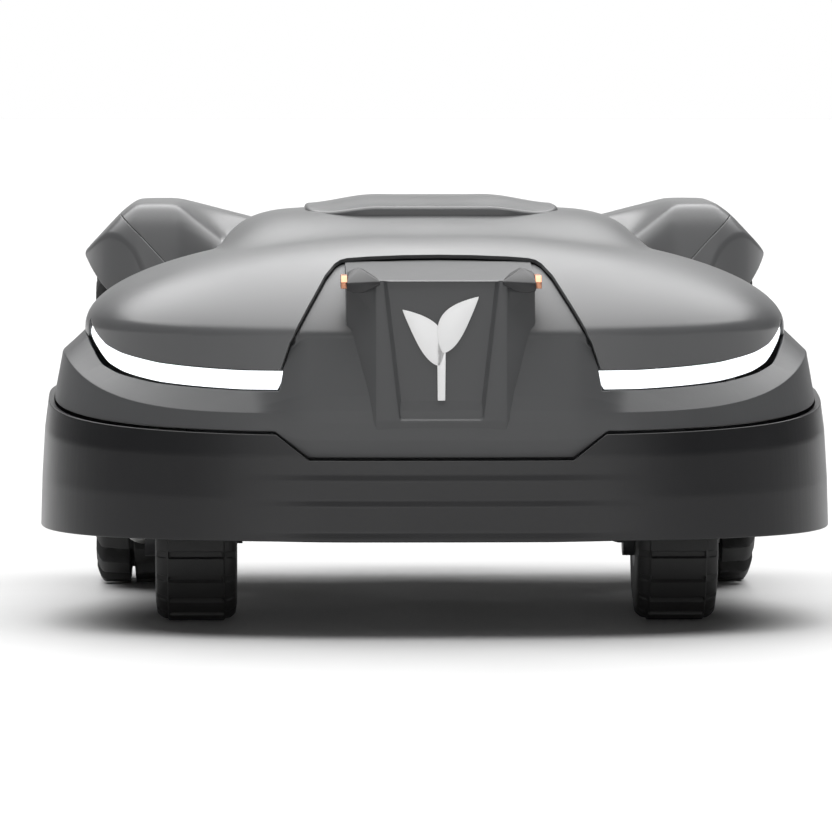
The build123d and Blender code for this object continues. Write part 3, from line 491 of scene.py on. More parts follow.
def cover_surface(params):
    """u runs round the outline, v up the wall and then inwards to the hatch."""
    c = OUTLINE(params[:, 0] % 1)
    v = params[:, 1]
    edge = cover_height(c[:, 0], c[:, 1])
    p = cover_top(c, np.clip((v - WALL_SHARE) / (1 - WALL_SHARE), 0, 1) ** INWARD_POWER)
    up = np.clip(v / WALL_SHARE, 0, 1)
    wall_z = WALL_FOOT + (edge - CREASE_R - WALL_FOOT) * up
    p[:, 2] = np.where(v < WALL_SHARE, wall_z, p[:, 2])
    return p


NOSE_POLY = [(113, 120), (113, 168), (110, 187), (104, 205), (91.5, 227), (79.5, 247), (73, 255)]
NOSE_POLY += [(69, 257.6), (64, 258.7), (50, 259.7), (25, 260.6), (0, 260.9)]
NOSE_POLY += [(-x, z) for x, z in reversed(NOSE_POLY[:-1])]


# each test below is positive where a panel keeps its surface: FAR is well inside it and -FAR well outside
FAR = 50
NOSE_BACK_Y = -200
LAMP_BACK_Y = -195


def outside_nose(p):
    gap = np.interp(p[:, 2], [248, 258], [SEAM_GAP, 0.3])
    return np.where(p[:, 1] < NOSE_BACK_Y, polygon_distance(NOSE_POLY, p[:, 0], p[:, 2]) - gap, FAR)


def over_lamps(p):
    return p[:, 2] - lamp_low(p[:, 1]) - np.where(p[:, 1] < LAMP_BACK_Y, LAMP_HEIGHT + 0.2, 1.0) - ROLL


def outside_arch(p):
    r = np.hypot(p[:, 1] - AXLE_Y, p[:, 2] - WHEEL_R) - ARCH_R
    return np.maximum(r, ARCH_IN - np.abs(p[:, 0])) - ROLL


def fender_side(p):
    """Positive on the fender's outer panel."""
    x_seam = np.where(p[:, 2] < 236, 186, 186 + 50 * (p[:, 2] - 236) / 53)
    side = (np.abs(p[:, 0]) - x_seam) * 0.73
    return np.minimum(side, p[:, 1] - 30)


def outside_top(p):
    hatch = rounded_rect(p[:, 0], p[:, 1], 0, -21, 82, 75, 14)
    stop = np.hypot(p[:, 0], p[:, 1] - STOP_Y) - 33.8
    return np.minimum(hatch, stop) - ROLL


COVER_U = np.linspace(0, 1, 640, endpoint=False)
COVER_V = np.concatenate([np.linspace(0.02, 0.155, 16), np.linspace(0.16, 0.99, 74)])
base = grid(COVER_U, COVER_V, closed=True)


def cut(start, surface, *keeps):
    """Trims a grid by several tests, one after another."""
    params, tris = start
    for keep in keeps:
        params, tris = trim(params, tris, surface, keep)
    return params, tris


params, tris = cut(
    base, cover_surface, over_lamps, outside_arch, outside_nose, outside_top,
    lambda p: -fender_side(p) - ROLL,
)
top = shell("top_cover_shell", cover_surface, params, tris, flip=True)
finish(top, "top_cover")
for name, sign in (("right", 1), ("left", -1)):
    params, tris = cut(
        base, cover_surface, over_lamps, outside_arch,
        lambda p: fender_side(p) - ROLL, lambda p, s=sign: p[:, 0] * s,
    )
    fender = shell(f"rear_fender_shell_{name}", cover_surface, params, tris, flip=True)
    finish(fender, f"rear_fender_{name}")


# ---------------------------------------------------------------- front panel: lower band and nose
def ring_at(a, b, back_a=None, back_y=48):
    """Wall outline at one level; without back_a its sides follow the cover's own outline."""
    arc = nose_arc(a, b, 241)
    tail_y = np.linspace(WIDEST_Y, back_y, 60)[1:]
    if back_a is None:
        tail_x = np.interp(tail_y, side[:, 1], side[:, 0]) + 0.6
    else:
        tail_x = a + (back_a - a) * smooth_step(WIDEST_Y, back_y + 30, tail_y)
    right = np.stack([tail_x, tail_y], -1)
    return np.vstack([(right * [-1, 1])[::-1], arc, right])


class Stack:
    """Wall whose plan outline changes from level to level; every level shares one parameter along it."""

    def __init__(self, levels):
        self.rings = np.array([ring_at(*level) for level in levels])
        middle = Curve(self.rings[len(levels) // 2])
        self.s = middle.s

    def __call__(self, u, k):
        """Point at share u along the outline, at fractional level k."""
        k = np.clip(k, 0, len(self.rings) - 1)
        low = np.floor(k).astype(int)
        high = np.minimum(low + 1, len(self.rings) - 1)
        f = (k - low)[:, None]
        return self.on_ring(u, low) * (1 - f) + self.on_ring(u, high) * f

    def on_ring(self, u, ring):
        """Points at shares u along the rings of the given numbers."""
        out = np.empty((len(u), 2))
        for r in np.unique(ring):
            m = ring == r
            for axis in range(2):
                out[m, axis] = np.interp(u[m], self.s, self.rings[r][:, axis])
        return out


BAND = Stack([(276.5, 225, 232), (268, 221.5, 224), (249.6, 211.5)])


def crease_z(y):
    """Height of the fold between the lower band and its shoulder."""
    return 157 + 36 * smooth_step(-335, -170, y) ** 0.9 - 12 * smooth_step(-60, 20, y)


NOSE_CREASE = 209.5
NOSE_LEAN = [(100, 9), (126, 12.2), (138, 14.6), (150, 15.2), (158, 14.8), (170, 12.6), (NOSE_CREASE, 0)]
NOSE_BLEND = (92, 132)
NOSE_TOP_HALF = 249.7


def nose_wall_y(u, z):
    """Front of the nose panel below its crease."""
    heights, lean = zip(*NOSE_LEAN)
    return nose_front_y(u, COVER_A) - np.interp(z, heights, lean)


def band_surface(params):
    """v 0 to 0.5 up the band, to 1 in over its shoulder or up the nose, to 2 over the cover's top."""
    u, v = params[:, 0], params[:, 1]
    low_v = np.clip(v, 0, 1)
    p = BAND(u, low_v * 2)
    y = p[:, 1]
    low = seam_z(y) - 12
    crease = crease_z(y)
    top = lamp_low(y) + 1.5
    z = np.where(low_v < 0.5, low + (crease - low) * low_v * 2, crease + (top - crease) * (low_v * 2 - 1))
    w = 1 - smooth_step(*NOSE_BLEND, np.abs(p[:, 0]))
    z_nose = WALL_FOOT + (NOSE_CREASE - WALL_FOOT) * low_v
    flat_y = nose_wall_y(np.abs(p[:, 0]), z_nose)
    wall = np.stack([p[:, 0], np.where(w > 0, y * (1 - w) + flat_y * w, y), z * (1 - w) + z_nose * w], -1)
    start = np.stack([p[:, 0], nose_front_y(np.abs(p[:, 0]), NOSE_TOP_HALF)], -1)
    over = cover_top(start, np.clip(v - 1, 0, 1) * 0.6)
    return np.where((v > 1)[:, None], over, wall)


BAND_U = np.concatenate([
    np.linspace(0, 0.34, 190), np.linspace(0.34, 0.66, 260)[1:], np.linspace(0.66, 1, 190)[1:],
])
BAND_V = np.concatenate([np.linspace(0, 1, 54), np.linspace(1, 2, 70)[1:]])


NOTCH_HALF = 116
BUMPER_GAP = 2.2


def over_bumper(p):
    """Above the bumper's seam, which dips in a notch under the nose."""
    u = np.abs(p[:, 0])
    notch = np.interp(u, [91, 92, 115, NOTCH_HALF], [124.5, 124.5, 142.3, 142.6])
    line = np.where((u < NOTCH_HALF) & (p[:, 1] < -250), notch, seam_z(p[:, 1]))
    return p[:, 2] - line - BUMPER_GAP


def inside_nose(p):
    return np.where(p[:, 1] < NOSE_BACK_Y, -polygon_distance(NOSE_POLY, p[:, 0], p[:, 2]), -FAR)


def nose_or_band(p):
    return np.maximum(inside_nose(p), lamp_low(p[:, 1]) - p[:, 2]) - ROLL


params, tris = cut(grid(BAND_U, BAND_V), band_surface, over_bumper, nose_or_band)
band = shell("front_panel_shell", band_surface, params, tris, flip=False)
finish(band, "front_panel")


# ---------------------------------------------------------------- muzzle: the raised middle of the nose
TOP_EDGE_Z, TOP_EDGE_Y = 249, -343
TOP_BACK_Y = -238
TOP_RISE = 10.5
MUZZLE_FOOT_Z = 140
MUZZLE_SIDE = 56.0
RECESS_Z, RECESS_DEPTH = 150, 3.4
SLANT = 0.93


def muzzle_plane(z):
    """Front of the muzzle at height z."""
    heights = [100, 130, 142, 152, 165, TOP_EDGE_Z]
    return np.interp(z, heights, [-329, -338, -343.5, -346.5, -346.8, TOP_EDGE_Y])


def skin_y(z):
    """The nose panel's surface beside the muzzle at height z."""
    if z < NOSE_CREASE:
        return float(nose_wall_y(np.array([MUZZLE_SIDE]), np.array([z]))[0])
    ys = np.linspace(-330, NOSE_BACK_Y, 200)
    return float(np.interp(z, cover_height(np.full(200, MUZZLE_SIDE), ys) - 0.3, ys))


def muzzle_mesh():
    """Strips across the muzzle, from its foot up the front and back over its top."""
    rows = []
    for z in np.linspace(MUZZLE_FOOT_Z, TOP_EDGE_Z, 110):
        front = muzzle_plane(z)
        t = (z - RECESS_Z) / (TOP_EDGE_Z - RECESS_Z)
        recess = 27 + 11.5 * t
        rib = recess + 2.4
        sunk = RECESS_DEPTH * smooth_step(151, 156, z)
        deep = max(skin_y(z) - front, 0.0) + 1.5
        slant = min(deep, 21)
        floor = [(x, front + sunk) for x in (0, recess - 7, recess - 1.0)]
        side_wall = [(recess, front + sunk * 0.8), (rib - 0.5, front + sunk * 0.1), (rib + 0.6, front)]
        corner = [(44.2, front), (45.4, front + 0.3), (46.4, front + 1.2)]
        flank = [(46 + slant * SLANT, front + slant), (46.4 + slant * SLANT, front + deep + 2)]
        rows.append([(x, y, z) for x, y in floor + side_wall + corner + flank])
    for y in np.linspace(TOP_EDGE_Y + 1, TOP_BACK_Y, 60):
        z = TOP_EDGE_Z + TOP_RISE * ((y - TOP_EDGE_Y) / (TOP_BACK_Y - TOP_EDGE_Y))
        z -= 0.6 if y == TOP_EDGE_Y + 1 else 0
        edge = min(46 + (y - TOP_EDGE_Y) * SLANT, 65.5)
        xs = [0, 18, 30, 36, 39, 41, 43, 44.5, 45.5, edge, edge + 0.5]
        foot = min(float(cover_height(np.array([edge + 0.5]), np.array([y]))[0]) - 2, z - 6)
        heights = [z] * 9 + [z - 0.4, foot]
        rows.append(list(zip(xs, [y] * len(xs), heights)))
    rows = np.array(rows, float)
    full = np.concatenate([rows[:, :0:-1] * [-1, 1, 1], rows], 1)
    return full.reshape(-1, 3), sheet_tris(*full.shape[:2])


verts, tris = muzzle_mesh()
muzzle = build("front_panel_muzzle", verts, tris)
muzzle.data.set_sharp_from_angle(angle=math.radians(26))
finish(muzzle, "front_panel", stands=False)


# ---------------------------------------------------------------- flange behind the nose panel's seam, in black plastic: painted shade in the seam gap
SEAM_SHADE_HALF = 6.0
SEAM_SHADE_DEPTH = 4.6


def skin_point(x, z):
    """Point of the cover's front at (x, z), on its wall below the crease and on its top above."""
    wall_y = nose_front_y(abs(x), COVER_A)
    ys = np.linspace(wall_y, NOSE_BACK_Y, 160)
    heights = np.maximum.accumulate(cover_height(np.full(160, float(x)), ys))
    return wall_y if z <= heights[0] else float(np.interp(z, heights, ys))


def seam_shade_mesh():
    """Ribbon that follows the seam a little behind both panels; its black plastic is painted shade for the
    seam gap.
    """
    line = Curve(np.array(NOSE_POLY[1:-1], float))(np.linspace(0, 1, 240))
    along = np.gradient(line, axis=0)
    across = np.stack([along[:, 1], -along[:, 0]], -1) / np.linalg.norm(along, axis=1)[:, None]
    rows = []
    for (x, z), (nx, nz) in zip(line, across):
        places = [(x + nx * k * SEAM_SHADE_HALF, z + nz * k * SEAM_SHADE_HALF) for k in (-1, -0.33, 0.33, 1)]
        rows.append([(px, skin_point(px, pz) + SEAM_SHADE_DEPTH, pz - 0.6) for px, pz in places])
    rows = np.array(rows, float)
    return rows.reshape(-1, 3), sheet_tris(*rows.shape[:2])


verts, tris = seam_shade_mesh()
# black plastic rather than the panel's grey, so that the seam's gap shows as a dark line: painted shade
finish(build("front_panel_seam_shade_flange", verts, tris), "front_panel", mat="black_plastic", stands=False)


# ---------------------------------------------------------------- lamps
def lamp_surface(params):
    """u along the strip's outline, v up its face."""
    u, v = params[:, 0], params[:, 1]
    p = Curve(nose_arc(COVER_A - 0.2, COVER_B + 2.8, 900))(u)
    low = lamp_low(p[:, 1]) + 0.5
    height = LAMP_HEIGHT - 0.7 - 3.6 * smooth_step(-250, -195, p[:, 1])
    bulge = 1.2 * np.maximum(np.sin(np.pi * v), 0) ** 0.7
    away = (p - [0, WIDEST_Y]) / np.linalg.norm(p - [0, WIDEST_Y], axis=1)[:, None]
    p = p + away * bulge[:, None]
    return np.stack([p[:, 0], p[:, 1], low + height * v], -1)


for name, sign in (("right", 1), ("left", -1)):
    span = np.linspace(0.5, 0.98, 260) if sign > 0 else np.linspace(0.02, 0.5, 260)
    params, tris = cut(
        grid(span, np.linspace(0, 1, 12)), lamp_surface,
        lambda p: np.maximum(np.abs(p[:, 0]) - 113.5 + (p[:, 2] - 172) * 0.30, -FAR) - ROLL,
        lambda p: LAMP_END_Y - p[:, 1],
    )
    lamp = shell(f"lamp_strip_{name}", lamp_surface, params, tris, wall=6, roll=0.6, flip=False)
    finish(lamp, f"lamp_{name}")


# ---------------------------------------------------------------- simple solids
def prism(name, outline_xy, z0, z1):
    """Extruded outline with sharp edges."""
    pts = np.array(outline_xy, float)
    n = len(pts)
    low = np.column_stack([pts, np.full(n, z0)])
    high = np.column_stack([pts, np.full(n, z1)])
    mesh = bpy.data.meshes.new(name)
    faces = [list(range(n))[::-1], list(range(n, 2 * n))]
    faces += [[k, (k + 1) % n, n + (k + 1) % n, n + k] for k in range(n)]
    mesh.from_pydata([tuple(v * MM) for v in np.vstack([low, high])], [], faces)
    obj = bpy.data.objects.new(name, mesh)
    bpy.context.scene.collection.objects.link(obj)
    return obj


BEVEL_SEGMENTS = 3
SHARP_ANGLE = math.radians(30)


def soften(obj, width):
    """Rounds the sharp edges of an object."""
    mod = obj.modifiers.new("edges", "BEVEL")
    mod.width = width * MM
    mod.segments = BEVEL_SEGMENTS
    mod.limit_method = "ANGLE"
    mod.angle_limit = SHARP_ANGLE
    for p in obj.data.polygons:
        p.use_smooth = True
    mod.harden_normals = True


def lathe(name, profile, center, axis="x", steps=96):
    """Solid of revolution; profile holds (along the axis, radius)."""
    prof = np.array(profile, float)
    th = np.linspace(0, 2 * math.pi, steps, endpoint=False)
    along, radius = np.repeat(prof[:, 0][None], steps, 0), prof[:, 1][None]
    ring = np.stack([along, radius * np.cos(th)[:, None], radius * np.sin(th)[:, None]], -1)
    if axis == "z":
        ring = ring[..., [1, 2, 0]]
    verts = ring.reshape(-1, 3) + np.array(center, float)
    tris = ring_tris(steps, len(prof))
    if axis == "x":
        tris = tris[:, ::-1]
    obj = build(name, verts, tris)
    obj.data.set_sharp_from_angle(angle=math.radians(32))
    return obj


# ---------------------------------------------------------------- bumper
BUMPER = Stack([(284, 230, 236), (283, 229.6, 235), (281, 228, 233), (276.5, 223, 230)])


SKIRT_FOOT = 69
FACET_DEPTH = 1.6
FACETS = [(SKIRT_FOOT, 0), (74, 1), (92, 0.2), (96, 1), (110, 0.4), (114, 1)]


def bumper_surface(params):
    """u along the skirt's outline, v up its wall."""
    u, v = params[:, 0], params[:, 1]
    p = BUMPER(u, v * 3)
    top = seam_z(p[:, 1]) + 14
    z = SKIRT_FOOT + (top - SKIRT_FOOT) * v
    # three shallow facets pressed into the middle of the skirt
    middle = 1 - smooth_step(70, 150, np.abs(p[:, 0]))
    heights, depths = zip(*FACETS)
    wave = FACET_DEPTH * np.interp(z, heights, depths) * middle
    return np.stack([p[:, 0], p[:, 1] + wave - 1.0 * middle, z], -1)


def under_seam(p):
    return -(over_bumper(p) + BUMPER_GAP) - 0.9


params, tris = cut(grid(np.linspace(0, 1, 560), np.linspace(0, 1, 40)), bumper_surface, under_seam)
skirt = shell("bumper_skirt", bumper_surface, params, tris, wall=4)
finish(skirt, "bumper", mat="bumper_rubber")


# ---------------------------------------------------------------- charging contacts
def hull(name, points, bevel=0.7):
    """Convex piece round the given corners, with softened edges."""
    mesh = bpy.data.meshes.new(name)
    mesh.from_pydata([tuple(np.array(p, float) * MM) for p in points], [], [])
    bm = bmesh.new()
    bm.from_mesh(mesh)
    bmesh.ops.convex_hull(bm, input=bm.verts)
    bmesh.ops.dissolve_limit(bm, angle_limit=math.radians(2), verts=bm.verts, edges=bm.edges)
    bmesh.ops.recalc_face_normals(bm, faces=bm.faces)
    bm.to_mesh(mesh)
    bm.free()
    obj = bpy.data.objects.new(name, mesh)
    bpy.context.scene.collection.objects.link(obj)
    soften(obj, bevel)
    return obj


def join(name, objects):
    """One object out of several that share a material."""
    bpy.context.view_layer.update()
    graph = bpy.context.evaluated_depsgraph_get()
    bm = bmesh.new()
    for o in objects:
        part = bpy.data.meshes.new_from_object(o.evaluated_get(graph))
        part.transform(o.matrix_world)
        bm.from_mesh(part)
    mesh = bpy.data.meshes.new(name)
    bm.to_mesh(mesh)
    bm.free()
    for o in objects:
        bpy.data.objects.remove(o)
    for p in mesh.polygons:
        p.use_smooth = True
    mesh.set_sharp_from_angle(angle=SHARP_ANGLE)
    obj = bpy.data.objects.new(name, mesh)
    bpy.context.scene.collection.objects.link(obj)
    return obj


BLOCK_FRONT = [(65.5, 247.5), (65.5, 242), (61, 240.6), (54.5, 240.6), (42.5, 246.2), (42.5, 248.6)]
BLOCK_CROWN = [(64.5, 254), (60, 256), (56, 257.2), (43, 249.5)]
PLATE_PROFILE = [(-342, 243.5), (-342, 248), (-336, 252.5), (-306, 252.5), (-306, 243.5)]
blocks, plates = [], []
for sign in (-1, 1):
    corners = [(sign * x, -345, z) for x, z in BLOCK_FRONT] + [(sign * x, -331, z) for x, z in BLOCK_CROWN]
    corners += [(sign * x, -300, z) for x, z in BLOCK_FRONT + BLOCK_CROWN]
    blocks.append(hull(f"block_{sign}", corners))
    plate = [(sign * x, y, z) for x in (65.2, 69.6) for y, z in PLATE_PROFILE]
    plates.append(hull(f"plate_{sign}", plate, 0.4))
finish(join("contact_block_pair", blocks), "contact_blocks")
finish(join("contact_plate_pair", plates), "contact_plates")


# ---------------------------------------------------------------- emblem: a sprout with two leaves
def leaf(base, tip, bend, width, steps=26):
    """Outline of a leaf that bends to one side."""
    b, t = np.array(base, float), np.array(tip, float)
    along = t - b
    normal = np.array([-along[1], along[0]]) / np.linalg.norm(along)
    k = np.linspace(0, 1, steps)
    spine = b + along * k[:, None] + normal * (bend * np.sin(np.pi * k))[:, None]
    half = width * np.sin(np.pi * k**0.8) ** 0.9
    return np.vstack([spine + normal * half[:, None], (spine - normal * half[:, None])[::-1][1:-1]])


LEAF_THICKNESS = 2.0
emblem = []
for index, shape in enumerate((
    leaf((-1, 190), (-27, 229), -5, 9.5), leaf((1, 199), (26, 238), 5, 9.5),
    [(-2.6, 166), (2.6, 166), (3.0, 205), (0.5, 209), (-3.0, 205)],
)):
    pts = np.array(shape, float)
    face = prism(f"leaf_{index}", pts, 0, 1)
    # neighbours differ in thickness, so that no two faces lie in one plane
    thickness = LEAF_THICKNESS + 0.4 * (index % 2)
    for v in face.data.vertices:
        x, z, t = v.co / MM
        v.co = Vector((x, muzzle_plane(z) + RECESS_DEPTH + 0.3 - thickness * t, z)) * MM
    face.data.flip_normals()
    soften(face, 0.35)
    emblem.append(face)
finish(join("emblem_sprout", emblem), "badge", mat="emblem_white")


# ---------------------------------------------------------------- hatch
HATCH_RIM = 0.2
HATCH_LOW, HATCH_TOP = 292.2, 300
HATCH_EDGE_R = 1.6
HATCH_PLAN = np.vstack([
    [(46 + 45 * math.sin(t), -59 - 45 * math.cos(t)) for t in np.linspace(0, math.pi / 2, 30)],
    [(77 + 14 * math.cos(t), 44 + 14 * math.sin(t)) for t in np.linspace(0, math.pi / 2, 16)],
])
HATCH_PLAN = np.vstack([HATCH_PLAN, (HATCH_PLAN * [-1, 1])[::-1], HATCH_PLAN[:1]])
HATCH_LINE = Curve(HATCH_PLAN)


def hatch_surface(params):
    """v 0 to HATCH_RIM up the rim, then in over the crown to a short line along its middle."""
    c = HATCH_LINE(params[:, 0] % 1)
    v = params[:, 1]
    inward = np.clip((v - HATCH_RIM) / (1 - HATCH_RIM), 0, 1) ** 1.3
    target = np.stack([np.zeros(len(c)), np.clip(c[:, 1], -45, 15)], -1)
    p = c + (target - c) * inward[:, None]
    x, y = np.abs(p[:, 0]), p[:, 1]
    crown = HATCH_TOP - 6.5 * smooth_step(40, 93, x)
    crown = crown - 7.0 * (1 - smooth_step(-112, -48, y)) - 1.2 * smooth_step(20, 60, y)
    crown -= 2.2 * finger_recess(x, y)
    low = HATCH_LOW - 3.6 * (1 - smooth_step(-104, -58, c[:, 1]))
    distance = np.linalg.norm(target - c, axis=1) * inward
    dip = HATCH_EDGE_R - np.sqrt(np.maximum(HATCH_EDGE_R**2 - np.maximum(HATCH_EDGE_R - distance, 0) ** 2, 0))
    top = crown - dip
    z = np.where(v < HATCH_RIM, low + (top - low) * v / HATCH_RIM, top)
    return np.stack([p[:, 0], p[:, 1], z], -1)


def finger_recess(x, y):
    """1 inside the shallow finger recess at the back of the hatch's crown."""
    d = rounded_rect(x, y, 0, 30, 34, 12, 11)
    return 1 - smooth_step(-3, 1.5, d)


HATCH_V = np.concatenate([np.linspace(0.02, HATCH_RIM, 6), np.linspace(0.21, 0.9999, 60)])
params, tris = grid(np.linspace(0, 1, 300, endpoint=False), HATCH_V, closed=True)
hatch = shell("hatch_shell", hatch_surface, params, tris, wall=2.0, roll=0.6, flip=True)
finish(hatch, "hatch")


# ---------------------------------------------------------------- wheels
def tread(name, center, radius_at, steps, across):
    """Tyre skin: radius_at(angle, x) gives its radius and its shift along x."""
    th = np.linspace(0, 2 * math.pi, steps, endpoint=False)
    xs = np.array(across, float)
    t, x = np.meshgrid(th, xs, indexing="ij")
    r, shift = radius_at(t, x)
    verts = np.stack([x + shift, r * np.sin(t), -r * np.cos(t)], -1).reshape(-1, 3) + np.array(center, float)
    obj = build(name, verts, ring_tris(steps, len(xs))[:, ::-1])
    obj.data.set_sharp_from_angle(angle=math.radians(38))
    return obj


def box_wave(phase, fill, edge):
    """1 on the raised share of each cycle, 0 in the gaps, with a soft edge."""
    d = np.abs((phase % 1) - 0.5) * 2
    return 1 - smooth_step(fill - edge, fill + edge, d)


CASTER_X, CASTER_Y, CASTER_R = 171.5, -175.0, 60
WHEEL_MID = 223.5
BLOCKS_ROUND = 20


def caster_radius(t, x):
    """One row of wide flat blocks on a caster tyre, x from its middle."""
    ax = np.abs(x)
    shoulder = CASTER_R - 1.3 * smooth_step(19.6, 20.6, ax) - 5.5 * (np.clip((ax - 20.6) / 8.4, 0, 1)) ** 2.2
    shoulder = shoulder - 5.5 * smooth_step(28.0, 29.0, ax)
    groove = 1 - box_wave(t / (2 * math.pi) * BLOCKS_ROUND + 0.5, 0.76, 0.05)
    depth = 3.4 * groove * (1 - smooth_step(18.6, 19.8, ax))
    side = 1.0 * groove * smooth_step(20.6, 22, ax) * (1 - smooth_step(26, 28, ax))
    r = shoulder - depth - side
    return np.where(ax > 29, np.where(ax > 29.6, 22, 46), r), np.where(ax > 29, np.sign(x) * (29 - ax), 0)


def lug_radius(t, x):
    """Two staggered rows of blocks on the rear tyre, x from its middle."""
    ax = np.abs(x)
    row = np.where(x > 0, 0.0, 0.5)
    lug = box_wave(t / (2 * math.pi) * BLOCKS_ROUND + 0.5 + row + 0.10 * ax / 27.5, 0.56, 0.07)
    lug = lug * smooth_step(0.9, 2.4, ax)
    body = 113.2 - 9 * np.clip((ax - 21) / 6.5, 0, 1) ** 2
    r = body + (11.8 - 1.8 * np.clip((ax - 22) / 5.5, 0, 1) ** 2) * lug
    return np.where(ax > 27.6, 100, r), np.where(ax > 27.6, np.sign(x) * (27.5 - ax), 0)


RIM_STEPS, RIM_RINGS, RIM_RIBS = 480, 40, 8
RIM_BACK, RIM_LIP, RIM_FACE = -24.0, 22.2, 19
CAP_PROFILE = [
    (17.0, 0.01), (17.0, 12), (18.2, 14), (18.2, 30), (17.4, 32), (17.4, 40), (16.4, 44), (14, 46), (8, 46),
]
HALF_CASTER = [0, 6, 12, 16, 18.2, 18.8, 19.4, 19.8, 20.4, 21, 22.5, 24, 25.5, 27, 28, 28.6, 29, 29.3, 29.8]
HALF_LUG = [0.0, 0.9, 1.4, 1.9, 2.5, 6, 10, 14, 18, 21, 23, 25, 26.2, 27, 27.5, 27.8]


def both_halves(half):
    return [-v for v in reversed(half[1:])] + half


def rear_rim(name, sign):
    """Dished face with ribs, seen inside the tyre, and a plain back."""
    th = np.linspace(0, 2 * math.pi, RIM_STEPS, endpoint=False)
    radii = np.concatenate([[99.6, 99.6, 96.5, 95.0], np.linspace(93.5, 22, RIM_RINGS), [20.5, 20, 20]])
    t, r = np.meshgrid(th, radii, indexing="ij")
    rib = box_wave(t / (2 * math.pi) * RIM_RIBS, 0.28, 0.05)
    window = smooth_step(34, 40, r) * (1 - smooth_step(84, 90, r))
    face = RIM_FACE - 9.5 * (1 - ((r - 22) / 72) ** 2) * smooth_step(20, 26, r) * (r < 94)
    face = face - 7 * (1 - rib) * window
    face = np.where(r > 94.5, RIM_LIP, face)
    face[:, [0, -1]] = RIM_BACK
    verts = np.stack([sign * (WHEEL_MID + face), AXLE_Y + r * np.sin(t), WHEEL_R - r * np.cos(t)], -1)
    n = len(radii)
    here, after = np.arange(RIM_STEPS) * n, ((np.arange(RIM_STEPS) + 1) % RIM_STEPS) * n
    back = [np.stack([here, after, after + n - 1], 1), np.stack([here, after + n - 1, here + n - 1], 1)]
    tris = np.vstack([ring_tris(RIM_STEPS, n), back[0][:, ::-1], back[1][:, ::-1]])
    rim = build(name, verts.reshape(-1, 3), tris if sign < 0 else tris[:, ::-1])
    rim.data.set_sharp_from_angle(angle=math.radians(35))
    return rim


for name, sign in (("left", -1), ("right", 1)):
    caster_at, wheel_at = (sign * CASTER_X, CASTER_Y, CASTER_R), (sign * WHEEL_MID, AXLE_Y, WHEEL_R)
    tyre = tread(f"caster_tread_{name}", caster_at, caster_radius, 800, both_halves(HALF_CASTER))
    finish(tyre, f"caster_tyre_{name}")
    tyre = tread(f"rear_tread_{name}", wheel_at, lug_radius, 900, both_halves(HALF_LUG))
    finish(tyre, f"wheel_tyre_{name}")
    finish(rear_rim(f"rear_rim_{name}", sign), f"wheel_rim_{name}")
    cap = lathe(f"hub_cap_{name}", [(sign * x, r) for x, r in CAP_PROFILE], wheel_at)
    if sign < 0:
        cap.data.flip_normals()
    finish(cap, f"wheel_hubcap_{name}")


# ---------------------------------------------------------------- stop button and its cup
stop = lathe("stop_dome", [
    (261, 0.01), (261, 7.4), (261.6, 8), (276, 8), (276, 29.4), (276.6, 30), (290, 30),
    (292.6, 29.2), (294.2, 27), (294.9, 23), (294.4, 20), (293.6, 12), (293.3, 0.01),
], (0, STOP_Y, 0), axis="z")
finish(stop, "stop_button")
cup = lathe("stop_collar", [
    (262, 8.1), (262, 33), (289.5, 33), (291, 32.4), (291.4, 31.8), (291, 30.9), (268, 30.6),
    (268, 8.1), (262, 8.1),
], (0, STOP_Y, 0), axis="z")
finish(cup, "stop_cup")


# ---------------------------------------------------------------- camera, floor and light
FLOOR_HALF = 40  # metres
CAMERA_AT = (-0.122, -5.05, 0.402)
CAMERA_YAW, CAMERA_PITCH = math.radians(-1.27), math.radians(-3.0)
SENSOR_WIDTH = 36
FOCAL_PIXELS, IMAGE_PIXELS = 6800, 832
SKY_LOW, SKY_HIGH, SKY_SIDE = 1.0, 0.16, 0.06
SKY_FRONT, SKY_BACK = 1.9, 0.62
SOFTBOX_ENERGY, SOFTBOX_ANGLE, SOFTBOX_TILT = 6.3, 94, -15

floor = bpy.data.objects.new("floor", bpy.data.meshes.new("floor"))
corners = [(x * FLOOR_HALF, y * FLOOR_HALF, 0) for x, y in ((-1, -1), (1, -1), (1, 1), (-1, 1))]
floor.data.from_pydata(corners, [], [(0, 1, 2, 3)])
bpy.context.scene.collection.objects.link(floor)
floor.data.materials.append(material("floor_white", (0.53, 0.53, 0.53), 0.6, tint=0.0))

world = bpy.data.worlds.new("studio")
bpy.context.scene.world = world
bpy.context.scene.view_settings.view_transform = "Standard"
world.use_nodes = True
sky, links = world.node_tree.nodes, world.node_tree.links


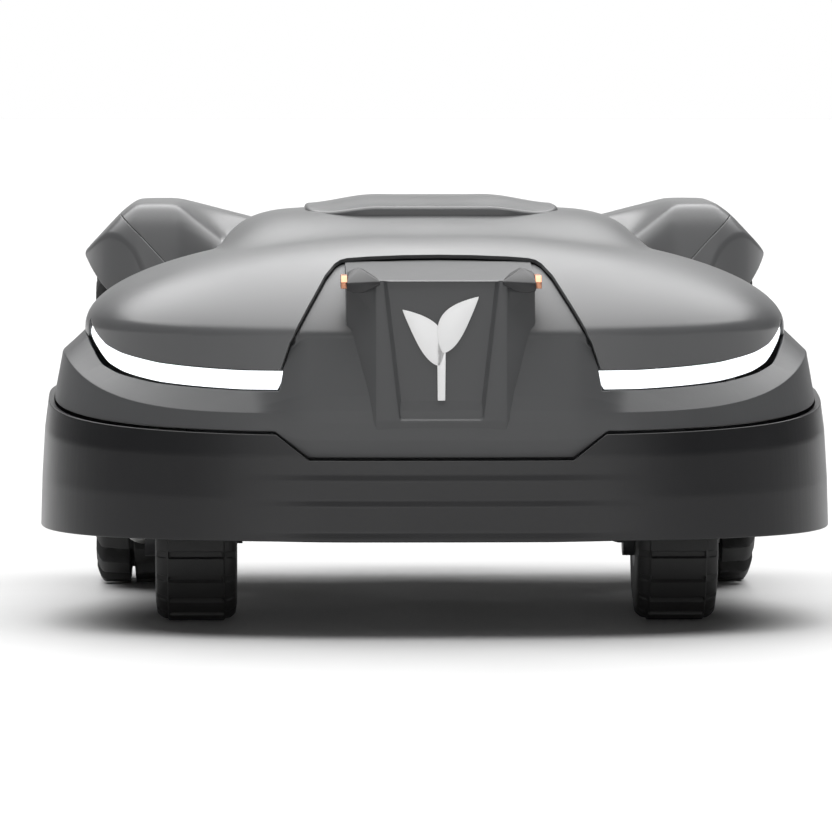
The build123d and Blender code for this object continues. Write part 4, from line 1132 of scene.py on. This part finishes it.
def span(source, low, high, at_low, at_high):
    """Smooth ramp of a world value between two ends."""
    ramp = sky.new("ShaderNodeMapRange")
    ramp.interpolation_type = "SMOOTHSTEP"
    for socket, value in zip(("From Min", "From Max", "To Min", "To Max"), (low, high, at_low, at_high)):
        ramp.inputs[socket].default_value = value
    links.new(source, ramp.inputs["Value"])
    return ramp.outputs["Result"]


def combine(operation, a, b=None):
    """Output of a world math node."""
    node = sky.new("ShaderNodeMath")
    node.operation = operation
    links.new(a, node.inputs[0])
    if b is not None:
        links.new(b, node.inputs[1])
    return node.outputs[0]


direction = sky.new("ShaderNodeTexCoord")
axes = sky.new("ShaderNodeSeparateXYZ")
links.new(direction.outputs["Generated"], axes.inputs["Vector"])
by_height = span(axes.outputs["Z"], 0.0, 0.6, SKY_LOW, SKY_HIGH)
by_side = span(combine("ABSOLUTE", axes.outputs["X"]), 0.12, 0.62, 1.0, SKY_SIDE)
by_depth = span(axes.outputs["Y"], -0.9, 0.3, SKY_FRONT, SKY_BACK)
room = combine("MULTIPLY", combine("MULTIPLY", by_height, by_side), by_depth)
seen = sky.new("ShaderNodeLightPath").outputs["Is Camera Ray"]
sky["Background"].inputs["Color"].default_value = (1, 1, 1, 1)
links.new(combine("MAXIMUM", room, seen), sky["Background"].inputs["Strength"])

softbox = bpy.data.lights.new("overhead", "SUN")
softbox.energy = SOFTBOX_ENERGY
softbox.angle = math.radians(SOFTBOX_ANGLE)
lamp_object = bpy.data.objects.new("overhead", softbox)
lamp_object.rotation_euler = (math.radians(SOFTBOX_TILT), 0, 0)
bpy.context.scene.collection.objects.link(lamp_object)

camera = bpy.data.objects.new("camera", bpy.data.cameras.new("camera"))
bpy.context.scene.collection.objects.link(camera)
camera.location = CAMERA_AT
camera.rotation_euler = (math.pi / 2 + CAMERA_PITCH, 0, CAMERA_YAW)
camera.data.sensor_width = SENSOR_WIDTH
camera.data.lens = FOCAL_PIXELS / IMAGE_PIXELS * SENSOR_WIDTH
camera.data.clip_end = 100
bpy.context.scene.camera = camera

for node, obj in frame["nodes"].items():
    obj.data.materials.clear()
    obj.data.materials.append(MATS.get(SLOT_OF[node], MATS["inner_plastic"]))
